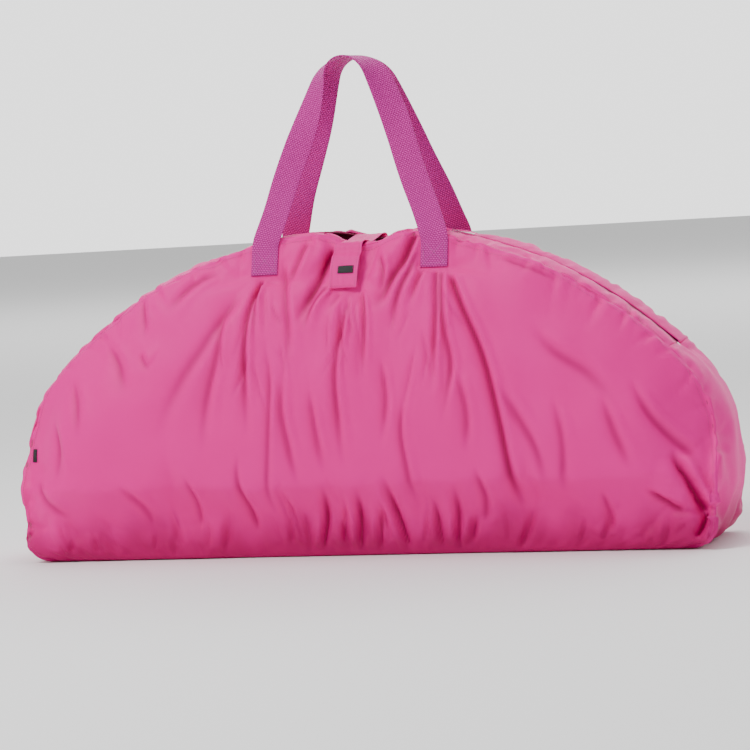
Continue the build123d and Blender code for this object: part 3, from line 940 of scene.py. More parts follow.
def readShell(mesh):
    # each corner's point and place on the flat cut, and each face's tag
    uv = np.zeros(len(mesh.loops) * 2)
    mesh.uv_layers["clothMap"].data.foreach_get("uv", uv)
    return readInts(mesh.loops, "vertex_index"), uv.reshape(-1, 2), readInts(mesh.polygons, "material_index")


def panelStep(tag, places, gap):
    # how far a panel's points move out, and how much painted shade lies in its folds
    folds, gathers, phase = panelRelief[pieceNames[tag]]
    x, (depth, z) = places[:, 0], heightOf(places[:, 1])
    step, dark = foldField(x, z, folds + looseCreases(5 + tag, creaseCentres, 10))
    more, moreDark = gatherField(x, z, gathers)
    step, dark = step + more, np.maximum(dark, moreDark)
    free = 1 - underHandles(x, z, 0.019, 0.006, 0.006)
    rimRuns = np.linspace(-cornerRun, cornerRun, 500)
    rimX, rimZ, outX, outZ = outlineAt(rimRuns)
    close = np.where(gap < 0.09)[0]
    gapX, gapCut = x[close, None] - rimX[None], places[close, 1][:, None] - cutOf(rimZ)[None]
    nearest = (gapX ** 2 + gapCut ** 2).argmin(axis=1)
    puckers = np.zeros(len(x))
    puckers[close] = seamPuckers(rimRuns[nearest], gap[close], 11 + tag)
    step = (step + puckers + softWaves(x, z, phase) * smoothStep(z, 0.015, 0.09)) * free
    return step * smoothStep(z, 0.0, 0.02), dark * free


def bandStep(tag, runs, y, z):
    # the band between the panels is puckered too, and lies flat along the zip
    gap = np.abs(rimWidth(runs) - np.abs(y))
    step = seamPuckers(runs, gap, 31 + (1 if tag == 6 else 0), (0.012, 0.03), (0.0012, 0.0042))
    isEnd = tag in (3, 4)
    if not isEnd:
        step *= 1 - smoothStep(gap, 0.030, 0.046)
    waves = np.sin(47 * runs + 60 * y) * np.sin(31 * runs - 45 * y + 1)
    step += 0.0016 * waves * smoothStep(gap, 0.004, 0.02) * isEnd
    step = step * smoothStep(z, 0.0, 0.03)
    if isEnd:      # a little hollow where the slider's pull lies
        step = step - 0.0045 * np.exp(-(y / 0.016) ** 2) * (1 - smoothStep(np.abs(runs), 0.505, 0.56))
    return step


def fineShell(shell):
    # one smoothing step, then the folds
    piece = newPiece("shellFine", shell["points"], shell["faces"], nylon)
    mesh = piece.data
    for extra in pieceNames[1:]:
        mesh.materials.append(nylon)
    mesh.polygons.foreach_set("material_index", shell["tags"])
    layer = mesh.uv_layers.new(name="clothMap")
    layer.data.foreach_set("uv", np.array(shell["maps"], float).ravel())
    writeAttribute(mesh, "rimGap", shell["rimGap"])
    addRounding(piece)
    applyModifiers(piece)
    mesh = piece.data
    points, normals = meshArrays(mesh)
    loopVerts, uv, tags = readShell(mesh)
    loopTags = np.repeat(tags, [p.loop_total for p in mesh.polygons])
    move, shade = np.zeros(len(points)), np.zeros(len(points))
    rimGaps = readAttribute(mesh, "rimGap")
    for tag in (0, 1, 3, 4, 5, 6):
        inTag = loopTags == tag
        chosen = np.unique(loopVerts[inTag])
        flat = np.zeros((len(points), 2))
        flat[loopVerts[inTag]] = uv[inTag]
        if tag in (0, 1):
            move[chosen], shade[chosen] = panelStep(tag, flat[chosen], rimGaps[chosen])
        else:
            move[chosen] += bandStep(tag, flat[chosen, 0], points[chosen, 1], points[chosen, 2])
    # the colour deepens low down, up to an uneven line, for the shaded underside of a hanging bag
    x = points[:, 0]
    line = 0.010 * np.sin(19 * x + 0.6) * np.sin(43 * x + 1.9) + 0.004 * np.sin(131 * x)
    low = 1 - smoothStep(points[:, 2] - line, baseShade["from"], baseShade["to"])
    writeAttribute(mesh, "paintedShade", np.maximum(shade, baseShade["amount"] * low))
    writeAttribute(mesh, "edgeWear", np.exp(-(rimGaps / 0.007) ** 2))
    points = points + normals * move[:, None]
    points[:, 2] = np.maximum(points[:, 2], 0.0002)
    over = np.maximum(np.abs(points[:, 1]) - clothMove["widest"], 0)
    points[:, 1] -= np.sign(points[:, 1]) * (over - clothMove["widestSoft"] * np.tanh(over / clothMove["widestSoft"]))
    mesh.vertices.foreach_set("co", points.ravel())
    mesh.update()
    return piece


def splitShell(whole):
    # the sewn pieces are cut from the one cloth along its seams
    mesh = whole.data
    points, normals = meshArrays(mesh)
    loopVerts, uv, tags = readShell(mesh)
    starts = readInts(mesh.polygons, "loop_start")
    values = {name: readAttribute(mesh, name) for name in ("rimGap", "paintedShade", "edgeWear")}
    made = {}
    for tag, name in enumerate(pieceNames):
        loops = starts[np.where(tags == tag)[0]][:, None] + np.arange(4)[None]
        corners = loopVerts[loops]
        used, inverse = np.unique(corners, return_inverse=True)
        piece = newPiece(name, points[used], inverse.reshape(corners.shape), nylon)
        layer = piece.data.uv_layers.new(name="clothMap")
        layer.data.foreach_set("uv", uv[loops].reshape(-1, 2).ravel())
        for attribute, data in values.items():
            writeAttribute(piece.data, attribute, data[used])
        made[name] = piece
    bpy.data.objects.remove(whole)
    return made


shellPieces = splitShell(fineShell(shell))
print("shell cut into", len(shellPieces), "pieces")
surfaceTrees = {name: BVHTree.FromPolygons([tuple(p) for p in meshArrays(piece.data)[0]],
                                           [tuple(p.vertices) for p in piece.data.polygons])
                for name, piece in shellPieces.items()}


def openEdgeLine(piece, keep):
    # the piece's raw edge, in order, where keep holds
    counts = {}
    for polygon in piece.data.polygons:
        for key in polygon.edge_keys:
            counts[key] = counts.get(key, 0) + 1
    links = {}
    for (a, b), times in counts.items():
        if times == 1 and keep(piece.data.vertices[a].co) and keep(piece.data.vertices[b].co):
            links.setdefault(a, []).append(b)
            links.setdefault(b, []).append(a)
    ends = [v for v in links if len(links[v]) == 1]
    start = min(ends or links, key=lambda v: piece.data.vertices[v].co.x)
    line, seen = [start], {start}
    while True:
        following = [v for v in links[line[-1]] if v not in seen]
        if not following:
            break
        line.append(following[0])
        seen.add(following[0])
    return np.array([piece.data.vertices[v].co[:] for v in line])


bagSides = (("front", -1), ("rear", 1))
seamLines = {side: openEdgeLine(shellPieces[side + "Panel"], lambda co: co.z > 0.006) for side, sign in bagSides}

panelArea = 0.0
flatGrid = panelGrid()
for i in range(flatGrid.shape[0] - 1):
    a, b = flatGrid[i], flatGrid[i + 1]
    panelArea += float(np.sum(np.abs((b[1:, 0] - a[:-1, 0]) * (a[1:, 1] - b[:-1, 1])
                                     - (a[1:, 0] - b[:-1, 0]) * (b[1:, 1] - a[:-1, 1]))) / 2)
print("panel cut", round(panelArea, 3), "square metres")

gatherShare = 1.05      # a panel's cloth is this much larger than its outline
cutSizes = {     # each piece as it was cut: CAD node, width, length, and its area where it isn't a rectangle
    "frontPanel": ("front_panel", 0.5, 1.08, panelArea * gatherShare),
    "rearPanel": ("rear_panel", 0.5, 1.08, panelArea * gatherShare),
    "basePanel": ("base_panel", 0.16, 0.92, None),
    "leftEndGusset": ("left_end_gusset", 0.24, 0.31, 0.056),
    "rightEndGusset": ("right_end_gusset", 0.24, 0.31, 0.056),
    "frontZipStrip": ("front_zip_strip", 0.056, 0.99, None),
    "rearZipStrip": ("rear_zip_strip", 0.056, 0.99, None),
}
for name, piece in shellPieces.items():
    thicken(piece, bagShape["clothThickness"])
    node, width, length, area = cutSizes[name]
    attach(piece, "bag", "bag_cloth", node)
print("shell pieces ride on the bag")


# what repeats: stitches and the zip's coil, as node trees

def nodeGroup(name, numbers):
    tree = bpy.data.node_groups.new(name, "GeometryNodeTree")
    tree.interface.new_socket("Geometry", in_out="INPUT", socket_type="NodeSocketGeometry")
    for label, value in numbers.items():
        socket = tree.interface.new_socket(label, in_out="INPUT", socket_type="NodeSocketFloat")
        socket.default_value = value
    tree.interface.new_socket("Geometry", in_out="OUTPUT", socket_type="NodeSocketGeometry")
    return tree, tree.nodes.new("NodeGroupInput"), tree.nodes.new("NodeGroupOutput")


def pathPoints(tree, source, spacing):
    # the line resampled at even spacing, and the turn that lays +Z along it
    curve = addNode(tree, "GeometryNodeMeshToCurve", {"Mesh": source}).outputs["Curve"]
    resample = addNode(tree, "GeometryNodeResampleCurve", {"Curve": curve, "Length": spacing}, mode="LENGTH")
    tangent = addNode(tree, "GeometryNodeInputTangent").outputs["Tangent"]
    align = addNode(tree, "FunctionNodeAlignRotationToVector", {"Vector": tangent}, axis="Z")
    return resample.outputs["Curve"], align.outputs["Rotation"]


def finishTree(tree, output, material, parts):
    placed = addNode(tree, "GeometryNodeInstanceOnPoints", parts).outputs["Instances"]
    realized = addNode(tree, "GeometryNodeRealizeInstances", {"Geometry": placed}).outputs["Geometry"]
    smooth = addNode(tree, "GeometryNodeSetShadeSmooth", {"Geometry": realized}).outputs["Geometry"]
    painted = addNode(tree, "GeometryNodeSetMaterial", {"Geometry": smooth, "Material": material})
    tree.links.new(painted.outputs["Geometry"], output.inputs["Geometry"])


def makeStitchTree(name, material):
    tree, source, output = nodeGroup(name, {"Pitch": 0.0036, "Stitch Length": 0.0029, "Thread Radius": 0.0003})
    points, rotation = pathPoints(tree, source.outputs["Geometry"], source.outputs["Pitch"])
    bead = addNode(tree, "GeometryNodeMeshUVSphere", {"Segments": 6, "Rings": 4, "Radius": 1.0})
    radius = source.outputs["Thread Radius"]
    half = mathNode(tree, "MULTIPLY", source.outputs["Stitch Length"], 0.5)
    size = addNode(tree, "ShaderNodeCombineXYZ", {"X": radius, "Y": radius, "Z": half})
    finishTree(tree, output, material, {"Points": points, "Instance": bead.outputs["Mesh"], "Rotation": rotation,
                                        "Scale": size.outputs["Vector"]})
    return tree


def makeCoilTree(name, material):
    tree, source, output = nodeGroup(name, {"Pitch": 0.0016, "Loop Radius": 0.00105, "Wire Radius": 0.00034})
    points, rotation = pathPoints(tree, source.outputs["Geometry"], source.outputs["Pitch"])
    loop, wire = (
        addNode(tree, "GeometryNodeCurvePrimitiveCircle", {"Resolution": sides, "Radius": source.outputs[radius]})
        for sides, radius in ((8, "Loop Radius"), (4, "Wire Radius")))
    sweep = addNode(tree, "GeometryNodeCurveToMesh", {"Curve": loop.outputs["Curve"],
                                                      "Profile Curve": wire.outputs["Curve"]})
    finishTree(tree, output, material, {"Points": points, "Instance": sweep.outputs["Mesh"], "Rotation": rotation})
    return tree


stitchTree = makeStitchTree("seamStitches", seamThread)
strapStitchTree = makeStitchTree("strapStitches", strapThread)
coilTree = makeCoilTree("zipCoil", coilNylon)


def runTree(name, lines, tree, sizes):
    # lays the tree's shape along one or more lines, and leaves a plain mesh
    points, edges = [], []
    for line in lines:
        start = len(points)
        points += [tuple(map(float, p)) for p in line]
        edges += [(start + i, start + i + 1) for i in range(len(line) - 1)]
    mesh = bpy.data.meshes.new(name)
    mesh.from_pydata(points, edges, [])
    piece = linkPiece(name, mesh)
    modifier = piece.modifiers.new("repeat", "NODES")
    modifier.node_group = tree
    for item in tree.interface.items_tree:
        if item.in_out == "INPUT" and item.name in sizes:
            modifier[item.identifier] = float(sizes[item.name])
    return applyModifiers(piece)


def evenLine(line, spacing):
    line = np.asarray(line, float)
    steps = runLengths(line)
    count = max(2, int(round(steps[-1] / spacing)) + 1)
    places = np.linspace(0, steps[-1], count)
    return np.stack([np.interp(places, steps, line[:, k]) for k in range(line.shape[1])], -1)


# handles

handleShape = {
    "width": 0.038,
    "thickness": 0.0021,
    "spacing": 0.24,
    "sewnLow": 0.384,
    "sewnHigh": 0.424,
    "hingeY": -0.06199,
    "hingeZ": 0.426,
    "apexZ": 0.675,
    "apexY": -0.023,
    "apexRadius": 0.045,
    "step": 0.003,
    "stitchPitch": 0.0031,
    "stitchInset": 0.0145,
}
strapColumns = (-0.017, -0.009, 0, 0.009, 0.017)


def faceDepth(name, x, z, sign):
    # how far out a shell piece's face stands at x, z
    start = Vector((x, 0.4 * sign, z))
    spot, normal, face, gap = surfaceTrees[name].ray_cast(start, Vector((0, -sign, 0)))
    return abs(spot.y) if spot is not None else float(bellyDepth(np.array(z)))


def strapDepth(panelName, centre, z, sign, columns=strapColumns):
    # how far out the face stands under a strap's whole width
    return max(faceDepth(panelName, centre + s, z, sign) for s in columns)


def handlePath(panelName, sign):
    half, rise = handleShape["spacing"] / 2, handleShape["apexZ"] - handleShape["hingeZ"]
    bend = handleShape["apexRadius"]
    centre = rise - bend
    leg = math.sqrt(half ** 2 + centre ** 2 - bend ** 2)
    lean = math.atan2(half, centre) - math.atan2(bend, leg)
    flat, turns = [], []
    legSteps, arcSteps = 10, 8
    for i in range(legSteps):
        flat.append((-half + leg * i / legSteps * math.sin(lean), leg * i / legSteps * math.cos(lean)))
    for i in range(arcSteps + 1):
        angle = -(math.pi / 2 - lean) * (1 - 2 * i / arcSteps)
        flat.append((bend * math.sin(angle), centre + bend * math.cos(angle)))
    for i in range(legSteps):
        share = 1 - (i + 1) / legSteps
        flat.append((half - leg * share * math.sin(lean), leg * share * math.cos(lean)))
    path = []
    for i, (x, height) in enumerate(flat):
        share = height / rise
        y = handleShape["hingeY"] + (handleShape["apexY"] - handleShape["hingeY"]) * (2 * share - share ** 2)
        path.append((x, -sign * y, handleShape["hingeZ"] + height))
        turns.append(math.pi * min(1.0, max(0.0, (i / (len(flat) - 1) - 0.22) / 0.56)))
    ends = []
    for z in np.linspace(handleShape["sewnLow"], handleShape["sewnHigh"] - 0.003, 9):
        ends.append((z, strapDepth(panelName, -half, z, sign), strapDepth(panelName, half, z, sign)))
    lift = handleShape["thickness"] * 0.55
    left = [(-half, sign * (depth + lift), z) for z, depth, other in ends]
    right = [(half, sign * (other + lift), z) for z, depth, other in reversed(ends)]
    path = left + path + right
    turns = [0.0] * len(left) + turns + [math.pi] * len(right)
    data = evenLine(np.c_[np.array(path), np.array(turns) * 0.001], handleShape["step"])
    points, turns = data[:, :3], data[:, 3] * 1000
    # rounds the joins between stations, and lets the strap waver a little
    for again in range(3):
        points[2:-2] = (points[:-4] + points[1:-3] * 2 + points[2:-2] * 2 + points[3:-1] * 2 + points[4:]) / 8
        turns[1:-1] = (turns[:-2] + turns[1:-1] * 2 + turns[2:]) / 4
    share = np.linspace(0, 1, len(points))
    free = smoothStep(share, 0.08, 0.2) * (1 - smoothStep(share, 0.8, 0.92))
    turns = turns + free * 0.10 * np.sin(13 * share + (1.1 if sign < 0 else 2.9))
    points[:, 0] += free * 0.0016 * np.sin(21 * share + (0.4 if sign < 0 else 1.9))
    return points, turns


def makeHandle(name, panelName, sign, nodes):
    points, turns = handlePath(panelName, sign)
    along = unitRows(np.gradient(points, axis=0))
    across = np.stack([np.cos(turns), sign * np.sin(turns), 0 * turns], -1)
    across = unitRows(across - along * np.sum(across * along, axis=1)[:, None])
    out = np.cross(across, along) * (-sign)
    verts, faces, uvs = strip(points, across, out, handleShape["width"], handleShape["thickness"], 4)
    piece = outwards(newPiece(name, verts, faces, webbing, uvs))
    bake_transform(piece)
    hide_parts(*nodes)
    return piece


def sewnPattern(panelName, sign, lift):
    # a stitched box with a cross on each sewn end
    lines = []
    for centre in (-handleShape["spacing"] / 2, handleShape["spacing"] / 2):
        left, right = centre - handleShape["stitchInset"], centre + handleShape["stitchInset"]
        low, high = handleShape["sewnLow"] + 0.005, handleShape["sewnHigh"] - 0.006
        for path in ([(left, low), (right, low), (right, high), (left, high), (left, low)],
                     [(left, low), (right, high)], [(left, high), (right, low)]):
            flat = evenLine([(x, z) for x, z in path], 0.0012)
            lines.append([(x, sign * (strapDepth(panelName, centre, z, sign) + lift), z) for x, z in flat])
    return lines


for side, sign in bagSides:
    makeHandle(side + "Handle", side + "Panel", sign, [side + "_handle_loop", side + "_handle_ends"])
    pattern = sewnPattern(side + "Panel", sign, handleShape["thickness"] * 1.08)
    stitches = runTree(side + "HandleStitches", pattern, strapStitchTree,
                       {"Pitch": handleShape["stitchPitch"], "Stitch Length": 0.0025, "Thread Radius": 0.00034})
    attach(stitches, "bag", "thread", side + "_handle_stitching")
print("handles made")


# closing tab: sewn to the rear panel, over the mouth, and down on the front panel

tabShape = {
    "width": 0.04,
    "thickness": 0.0017,
    "rearLow": 0.386,
    "frontLow": 0.362,
    "hem": 0.0035,
    "step": 0.003,
}


def tabPath():
    rear = [(faceDepth("rearPanel", 0.0, z, 1) + 0.0012, z) for z in np.linspace(tabShape["rearLow"], 0.43, 8)]
    over = [(0.0575, 0.4385), (0.0535, 0.4428), (0.045, 0.4437), (0.030, 0.4428), (0.012, 0.4412), (-0.012, 0.4408),
            (-0.032, 0.4428), (-0.048, 0.4438), (-0.0575, 0.4432), (-0.0625, 0.4395), (-0.0645, 0.4335)]
    line = evenLine([(y, z) for y, z in rear + over], tabShape["step"])
    settled = settle(np.stack([0 * line[:, 0], line[:, 0], line[:, 1]], -1))
    last = settled[-1, 2]
    front = []
    for z in np.linspace(last - 0.004, tabShape["frontLow"], 22):
        depth = strapDepth("frontPanel", 0, z, -1, (-0.018, -0.009, 0, 0.009, 0.018))
        front.append((0.0, -depth - 0.0036, z))
    path = evenLine(np.concatenate([settled, np.array(front)]), tabShape["step"])
    for again in range(2):
        path[1:-1] = (path[:-2] + path[1:-1] * 2 + path[2:]) / 4
    return path


def makeTab():
    path = tabPath()
    along = unitRows(np.gradient(path, axis=0))
    out = np.cross(along, np.array([1.0, 0, 0]))
    out *= np.sign(out[len(out) // 2, 2])
    count, columns = len(path), 17
    share = np.linspace(0, 1, count)
    verts, uvs, wear = [], [], []
    run = runLengths(path)
    for i in range(count):
        for j in range(columns):
            u = -1 + 2 * j / (columns - 1)
            free = math.sin(math.pi * min(1, share[i] * 1.05)) ** 0.5 if share[i] < 0.95 else 0.4
            ripple = 0.0006 * math.sin(5.2 * u + 9 * share[i]) * free + 0.0005 * math.sin(9 * u - 24 * share[i])
            hem = 0.0005 * math.exp(-((1 - abs(u)) * tabShape["width"] / 2 / tabShape["hem"]) ** 4)
            lean = -0.004 * smoothStep(np.array(share[i]), 0.5, 1.0)
            spot = path[i] + out[i] * (abs(ripple) + hem) + np.array([u * tabShape["width"] / 2 + lean, 0, 0])
            verts.append(spot)
            uvs.append((u * tabShape["width"] / 2, run[i]))
            wear.append(math.exp(-((1 - abs(u)) * 0.02 / 0.0025) ** 2))
    piece = newPiece("closingTab", verts, gridFaces(count, columns), tabNylon, uvs)
    writeAttribute(piece.data, "edgeWear", wear)
    addWall(piece, tabShape["thickness"])
    addRounding(piece)
    outwards(applyModifiers(piece))
    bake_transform(piece)
    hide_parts("closing_tab_flap", "closing_tab_anchor")
    return path, out


tabLine, tabOut = makeTab()
frontStart = int(np.argmax(tabLine[:, 1] < -0.05)) + 3
tabTop = tabShape["thickness"] / 2 + 0.0006


def onTab(u, share, lift):
    # a place on the tab's front drop: u across in metres, share from its top to its free end
    k = frontStart + share * (len(tabLine) - 1 - frontStart)
    low = int(min(k, len(tabLine) - 2))
    spot = tabLine[low] + (tabLine[low + 1] - tabLine[low]) * (k - low) + tabOut[low] * lift
    return spot + np.array([u - 0.004 * (0.6 + 0.4 * share), 0, 0])


def stitchTab(name, lines, body, slot, pitch, length, radius):
    stitches = runTree(name, lines, stitchTree, {"Pitch": pitch, "Stitch Length": length, "Thread Radius": radius})
    attach(stitches, body, slot)


hemX, hemEnd = 0.0168, 0.955
hemLines = [[onTab(u, s, tabTop) for s in np.linspace(0.0, hemEnd, 40)] for u in (-hemX, hemX)]
hemLines.append([onTab(u, hemEnd, tabTop) for u in np.linspace(-hemX, hemX, 16)])
stitchTab("closingTabStitches", hemLines, "closing_tab", "thread", 0.0030, 0.0024, 0.00028)
anchorX, anchorLow, anchorHigh = 0.0165, tabShape["rearLow"] + 0.006, tabShape["rearLow"] + 0.024
anchorPaths = [[(x, z) for x in np.linspace(-anchorX, anchorX, 16)] for z in (anchorLow, anchorHigh)]
anchorPaths += [[(x, z) for z in np.linspace(anchorLow, anchorHigh, 10)] for x in (-anchorX, anchorX)]
anchorLines = [[(x, faceDepth("rearPanel", 0.0, z, 1) + 0.0026, z) for x, z in path] for path in anchorPaths]
stitchTab("tabAnchorStitches", anchorLines, "bag", "thread", 0.0030, 0.0024, 0.0003)


def gridPiece(name, grid, material, thickness, body, nodes, slot):
    # a small sewn-on piece from a grid of places
    grid = np.asarray(grid, float)
    rows, columns = grid.shape[:2]
    runU, runV = runLengths(grid[:, columns // 2]), runLengths(grid[rows // 2])
    uvs = [(runV[j], runU[i]) for i in range(rows) for j in range(columns)]
    piece = newPiece(name, grid.reshape(-1, 3), gridFaces(rows, columns), material, uvs)
    addWall(piece, thickness)
    bevel = piece.modifiers.new("edge", "BEVEL")
    bevel.width = thickness * 0.3
    bevel.segments = 2
    bevel.limit_method = "ANGLE"
    bevel.angle_limit = math.radians(50)
    outwards(applyModifiers(piece))
    attach(piece, body, slot, *nodes)
    return piece


# the label's two ends are folded under, so it stands a little proud at its middle
labelGrid = [[onTab(u, s, tabTop + 0.0004 + 0.0005 * math.cos(0.5 * math.pi * (u - 0.003) / 0.0115))
              for u in np.linspace(-0.0085, 0.0135, 13)] for s in np.linspace(0.55, 0.70, 6)]
gridPiece("closingTabLabel", labelGrid, labelSatin, 0.0006, "closing_tab", ["closing_tab_label"], "label_cloth")
labelEnds = [[onTab(u, s, tabTop + 0.0010) for s in np.linspace(0.56, 0.69, 5)] for u in (-0.0075, 0.0125)]
stitchTab("tabLabelStitches", labelEnds, "closing_tab", None, 0.0022, 0.0018, 0.0002)
hookGrid = [[onTab(u, s, -tabShape["thickness"] / 2 - 0.0006) for u in np.linspace(-0.016, 0.016, 9)]
            for s in np.linspace(0.42, 0.95, 9)]
gridPiece("hookPatch", hookGrid, loopPile, 0.0011, "closing_tab", ["closing_tab_hook_patch"], "fastener_tape")
loopZ = np.linspace(0.366, 0.402, 10)
loopGrid = [[(x, -faceDepth("frontPanel", x, z, -1) - 0.0006, z) for x in np.linspace(-0.019, 0.013, 9)]
            for z in loopZ]
gridPiece("loopPatch", loopGrid, loopPile, 0.0011, "bag", ["closing_tab_loop_patch"], "fastener_tape")
sideX, sideZ = np.linspace(-0.4775, -0.4695, 5), np.linspace(0.140, 0.158, 7)
sideGrid = [[(x, -faceDepth("frontPanel", x, z, -1) - 0.0008 - 0.0006 * math.sin(math.pi * (z - 0.14) / 0.018), z)
             for x in sideX] for z in sideZ]
gridPiece("sideLabel", sideGrid, labelSatin, 0.0006, "bag", ["side_label"], "label_cloth")
print("tab and labels made")


# zip: two tapes, a coil on each, and the metal parts from the frame

zipShape = {
    "angle": 44.6,
    "tapeInner": 0.0030,
    "tapeOuter": 0.0175,
    "tapeDrop": 0.0016,
    "coilOffset": 0.0018,
    "coilPitch": 0.0016,
}


def zipLine(sign, offset, drop, step=0.0025):
    reach = math.radians(zipShape["angle"]) * bagShape["archRadius"]
    runs = np.linspace(-reach, reach, int(2 * reach / step))
    x, z, outX, outZ = outlineAt(runs)
    y = sign * (mouthHalfWidth(x) + offset)
    return settle(np.stack([x - outX * drop, y, z - outZ * drop], -1)), runs


for side, sign in bagSides:
    rows = []
    for share in np.linspace(0, 1, 7):
        line, runs = zipLine(sign, zipShape["tapeInner"] + (zipShape["tapeOuter"] - zipShape["tapeInner"]) * share,
                             zipShape["tapeDrop"] - 0.0006 * (1 - share))
        rows.append(line)
    grid = np.array(rows)
    columns = grid.shape[1]
    uvs = [(zipShape["tapeOuter"] * i / 6, runs[j]) for i in range(7) for j in range(columns)]
    tape = newPiece(side + "ZipTape", grid.reshape(-1, 3), gridFaces(7, columns), zipTapeCloth, uvs)
    outwards(thicken(tape, 0.0007, 0.0))
    attach(tape, "bag", "zip_tape", side + "_zip_tape")
    coilLine, runs = zipLine(sign, zipShape["coilOffset"], 0.0008, 0.0012)
    coil = runTree(side + "ZipCoil", [coilLine], coilTree, {"Pitch": zipShape["coilPitch"]})
    attach(coil, "bag", "zip_teeth", side + "_zip_teeth")
for node in ("right_zip_slider", "left_zip_slider", "right_zip_pull", "left_zip_pull", "zip_end_stops"):
    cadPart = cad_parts[node]
    cadPart = cadPart if isinstance(cadPart, bpy.types.Object) else bpy.data.objects[node]
    cadPart.data.materials.clear()
    cadPart.data.materials.append(zipMetal)
print("zip made")


# seams: top stitching outside, bindings and handle patches inside

seamShape = {
    "inset": 0.0055,
    "pitch": 0.0038,
    "bindingWidth": 0.009,
    "threadLift": 0.00022,
}


def ontoSurface(name, targets):
    # the nearest places on a shell piece, lifted off it by half a thread
    found = []
    for target in targets:
        spot, normal, face, gap = surfaceTrees[name].find_nearest(Vector(target))
        found.append((spot + normal * seamShape["threadLift"])[:])
    return np.array(found)


def seamNormals(line):
    # the way out of the outline at each place of a seam line
    runs = np.linspace(-cornerRun, cornerRun, 900)
    x, z, outX, outZ = outlineAt(runs)
    nearest = ((line[:, None, 0] - x[None]) ** 2 + (line[:, None, 2] - z[None]) ** 2).argmin(axis=1)
    return np.stack([outX[nearest], 0 * line[:, 0], outZ[nearest]], -1), runs[nearest]


for side, sign in bagSides:
    line = evenLine(seamLines[side], 0.004)
    out, runs = seamNormals(line)
    onPanel = ontoSurface(side + "Panel", line - out * seamShape["inset"] + np.array([0, sign * 0.004, 0]))
    stripTargets = line[np.abs(runs) < 0.785 * bagShape["archRadius"] - 0.01]
    onStrip = ontoSurface(side + "ZipStrip", stripTargets + np.array([0, -sign * 0.005, 0]))
    onEdge = ontoSurface(side + "ZipStrip", zipLine(sign, bagShape["tapeEdge"] + 0.001, 0.0)[0])
    stitches = runTree(side + "SeamStitches", [onPanel, onStrip, onEdge], stitchTree, {"Pitch": seamShape["pitch"]})
    attach(stitches, "bag", "thread")
    inward = unitRows(-out * 0.8 + np.array([0, -sign * 0.6, 0]))
    core = line + inward * (0.0016 + seamShape["bindingWidth"] / 2)
    face = unitRows(np.cross(inward, unitRows(np.gradient(core, axis=0))))
    verts, faces, uvs = strip(core, inward, face, seamShape["bindingWidth"], 0.0012, 2)
    binding = outwards(newPiece(side + "SeamBinding", verts, faces, bindingCloth, uvs))
    attach(binding, "bag", "binding_tape", side + "_seam_binding")
    for label, centre in (("Left", -bagShape["handleHalf"]), ("Right", bagShape["handleHalf"])):
        grid = [[(x, sign * (faceDepth(side + "Panel", x, z, sign) - bagShape["clothThickness"] - 0.0009), z)
                 for x in np.linspace(centre - 0.022, centre + 0.022, 9)] for z in np.linspace(0.376, 0.41, 7)]
        gridPiece(side + label + "HandlePatch", grid, nylon, 0.0009, "bag",
                  [side + "_handle_backing"], "bag_cloth")
print("seams stitched and bound")


# room, light and camera

room = {
    "floorSize": 60.0,
    "floorColor": (0.92, 0.92, 0.92),
    "frontStrength": 0.35,
    "backStrength": 2.1,
    "backFrom": 0.15,
    "backTo": 0.85,
}


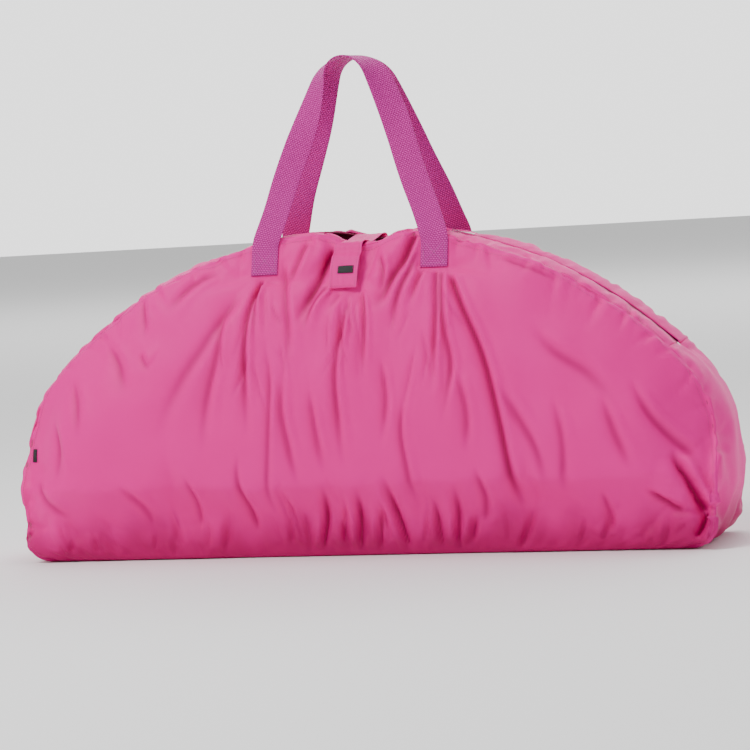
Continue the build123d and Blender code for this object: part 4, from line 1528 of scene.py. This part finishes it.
def buildRoom():
    half = room["floorSize"] / 2
    floor = newPiece("studioFloor", [(-half, -half, 0), (half, -half, 0), (half, half, 0), (-half, half, 0)],
                     [(0, 1, 2, 3)], nylon, smooth=False)
    material, tree, shader = newMaterial("paleFloor")
    fillInputs(tree, shader, {"Base Color": room["floorColor"], "Roughness": 0.9, "Specular IOR Level": 0.1})
    floor.data.materials[0] = material
    # the studio is brightest behind and above the bag, so it stands against white
    world = bpy.data.worlds.new("studio")
    world.use_nodes = True
    tree = world.node_tree
    direction = addNode(tree, "ShaderNodeTexCoord").outputs["Generated"]
    parts = addNode(tree, "ShaderNodeSeparateXYZ", {"Vector": direction})
    ramp = addNode(tree, "ShaderNodeMapRange", {
        "Value": parts.outputs["Y"], "From Min": room["backFrom"], "From Max": room["backTo"],
        "To Min": room["frontStrength"], "To Max": room["backStrength"]}, interpolation_type="SMOOTHSTEP")
    fillInputs(tree, tree.nodes["Background"], {"Color": (1.0, 1.0, 1.0), "Strength": ramp.outputs["Result"]})
    bpy.context.scene.world = world


softboxes = {     # place, target, width, height, power
    "keyLight": ((-1.5, -2.0, 3.0), (0, 0, 0.2), 1.5, 1.1, 108),
    "topLight": ((0.3, 0.2, 2.9), (0, 0, 0.3), 2.0, 1.2, 25),
    "fillLight": ((2.6, -2.2, 0.9), (0, 0, 0.25), 1.6, 1.6, 9),
    "farLight": ((0, 7.5, 5.0), (0, 8.0, 0), 12.0, 4.0, 340),
}


def addSoftbox(name, place, target, width, height, power):
    light = bpy.data.lights.new(name, "AREA")
    light.shape = "RECTANGLE"
    light.size, light.size_y = width, height
    light.energy = power
    lamp = linkPiece(name, light)
    lamp.location = place
    lamp.rotation_euler = (Vector(target) - Vector(place)).to_track_quat("-Z", "Y").to_euler()


viewpoint = {
    "azimuth": 17.5,
    "elevation": 3.5,
    "roll": -3.4,
    "distance": 4.0,
    "target": (0.006, 0.0, 0.238),
    "lens": 140.0,
}


def addCamera():
    azimuth, elevation = math.radians(viewpoint["azimuth"]), math.radians(viewpoint["elevation"])
    back = Vector((math.sin(azimuth) * math.cos(elevation), -math.cos(azimuth) * math.cos(elevation),
                   math.sin(elevation)))
    data = bpy.data.cameras.new("camera")
    data.lens = viewpoint["lens"]
    data.clip_end = 200
    camera = linkPiece("camera", data)
    camera.location = Vector(viewpoint["target"]) + back * viewpoint["distance"]
    turn = (-back).to_track_quat("-Z", "Y")
    camera.rotation_mode = "QUATERNION"
    camera.rotation_quaternion = turn @ Quaternion((0, 0, 1), math.radians(viewpoint["roll"]))
    bpy.context.scene.camera = camera


buildRoom()
for name, settings in softboxes.items():
    addSoftbox(name, *settings)
addCamera()
print("room, lights and camera set")
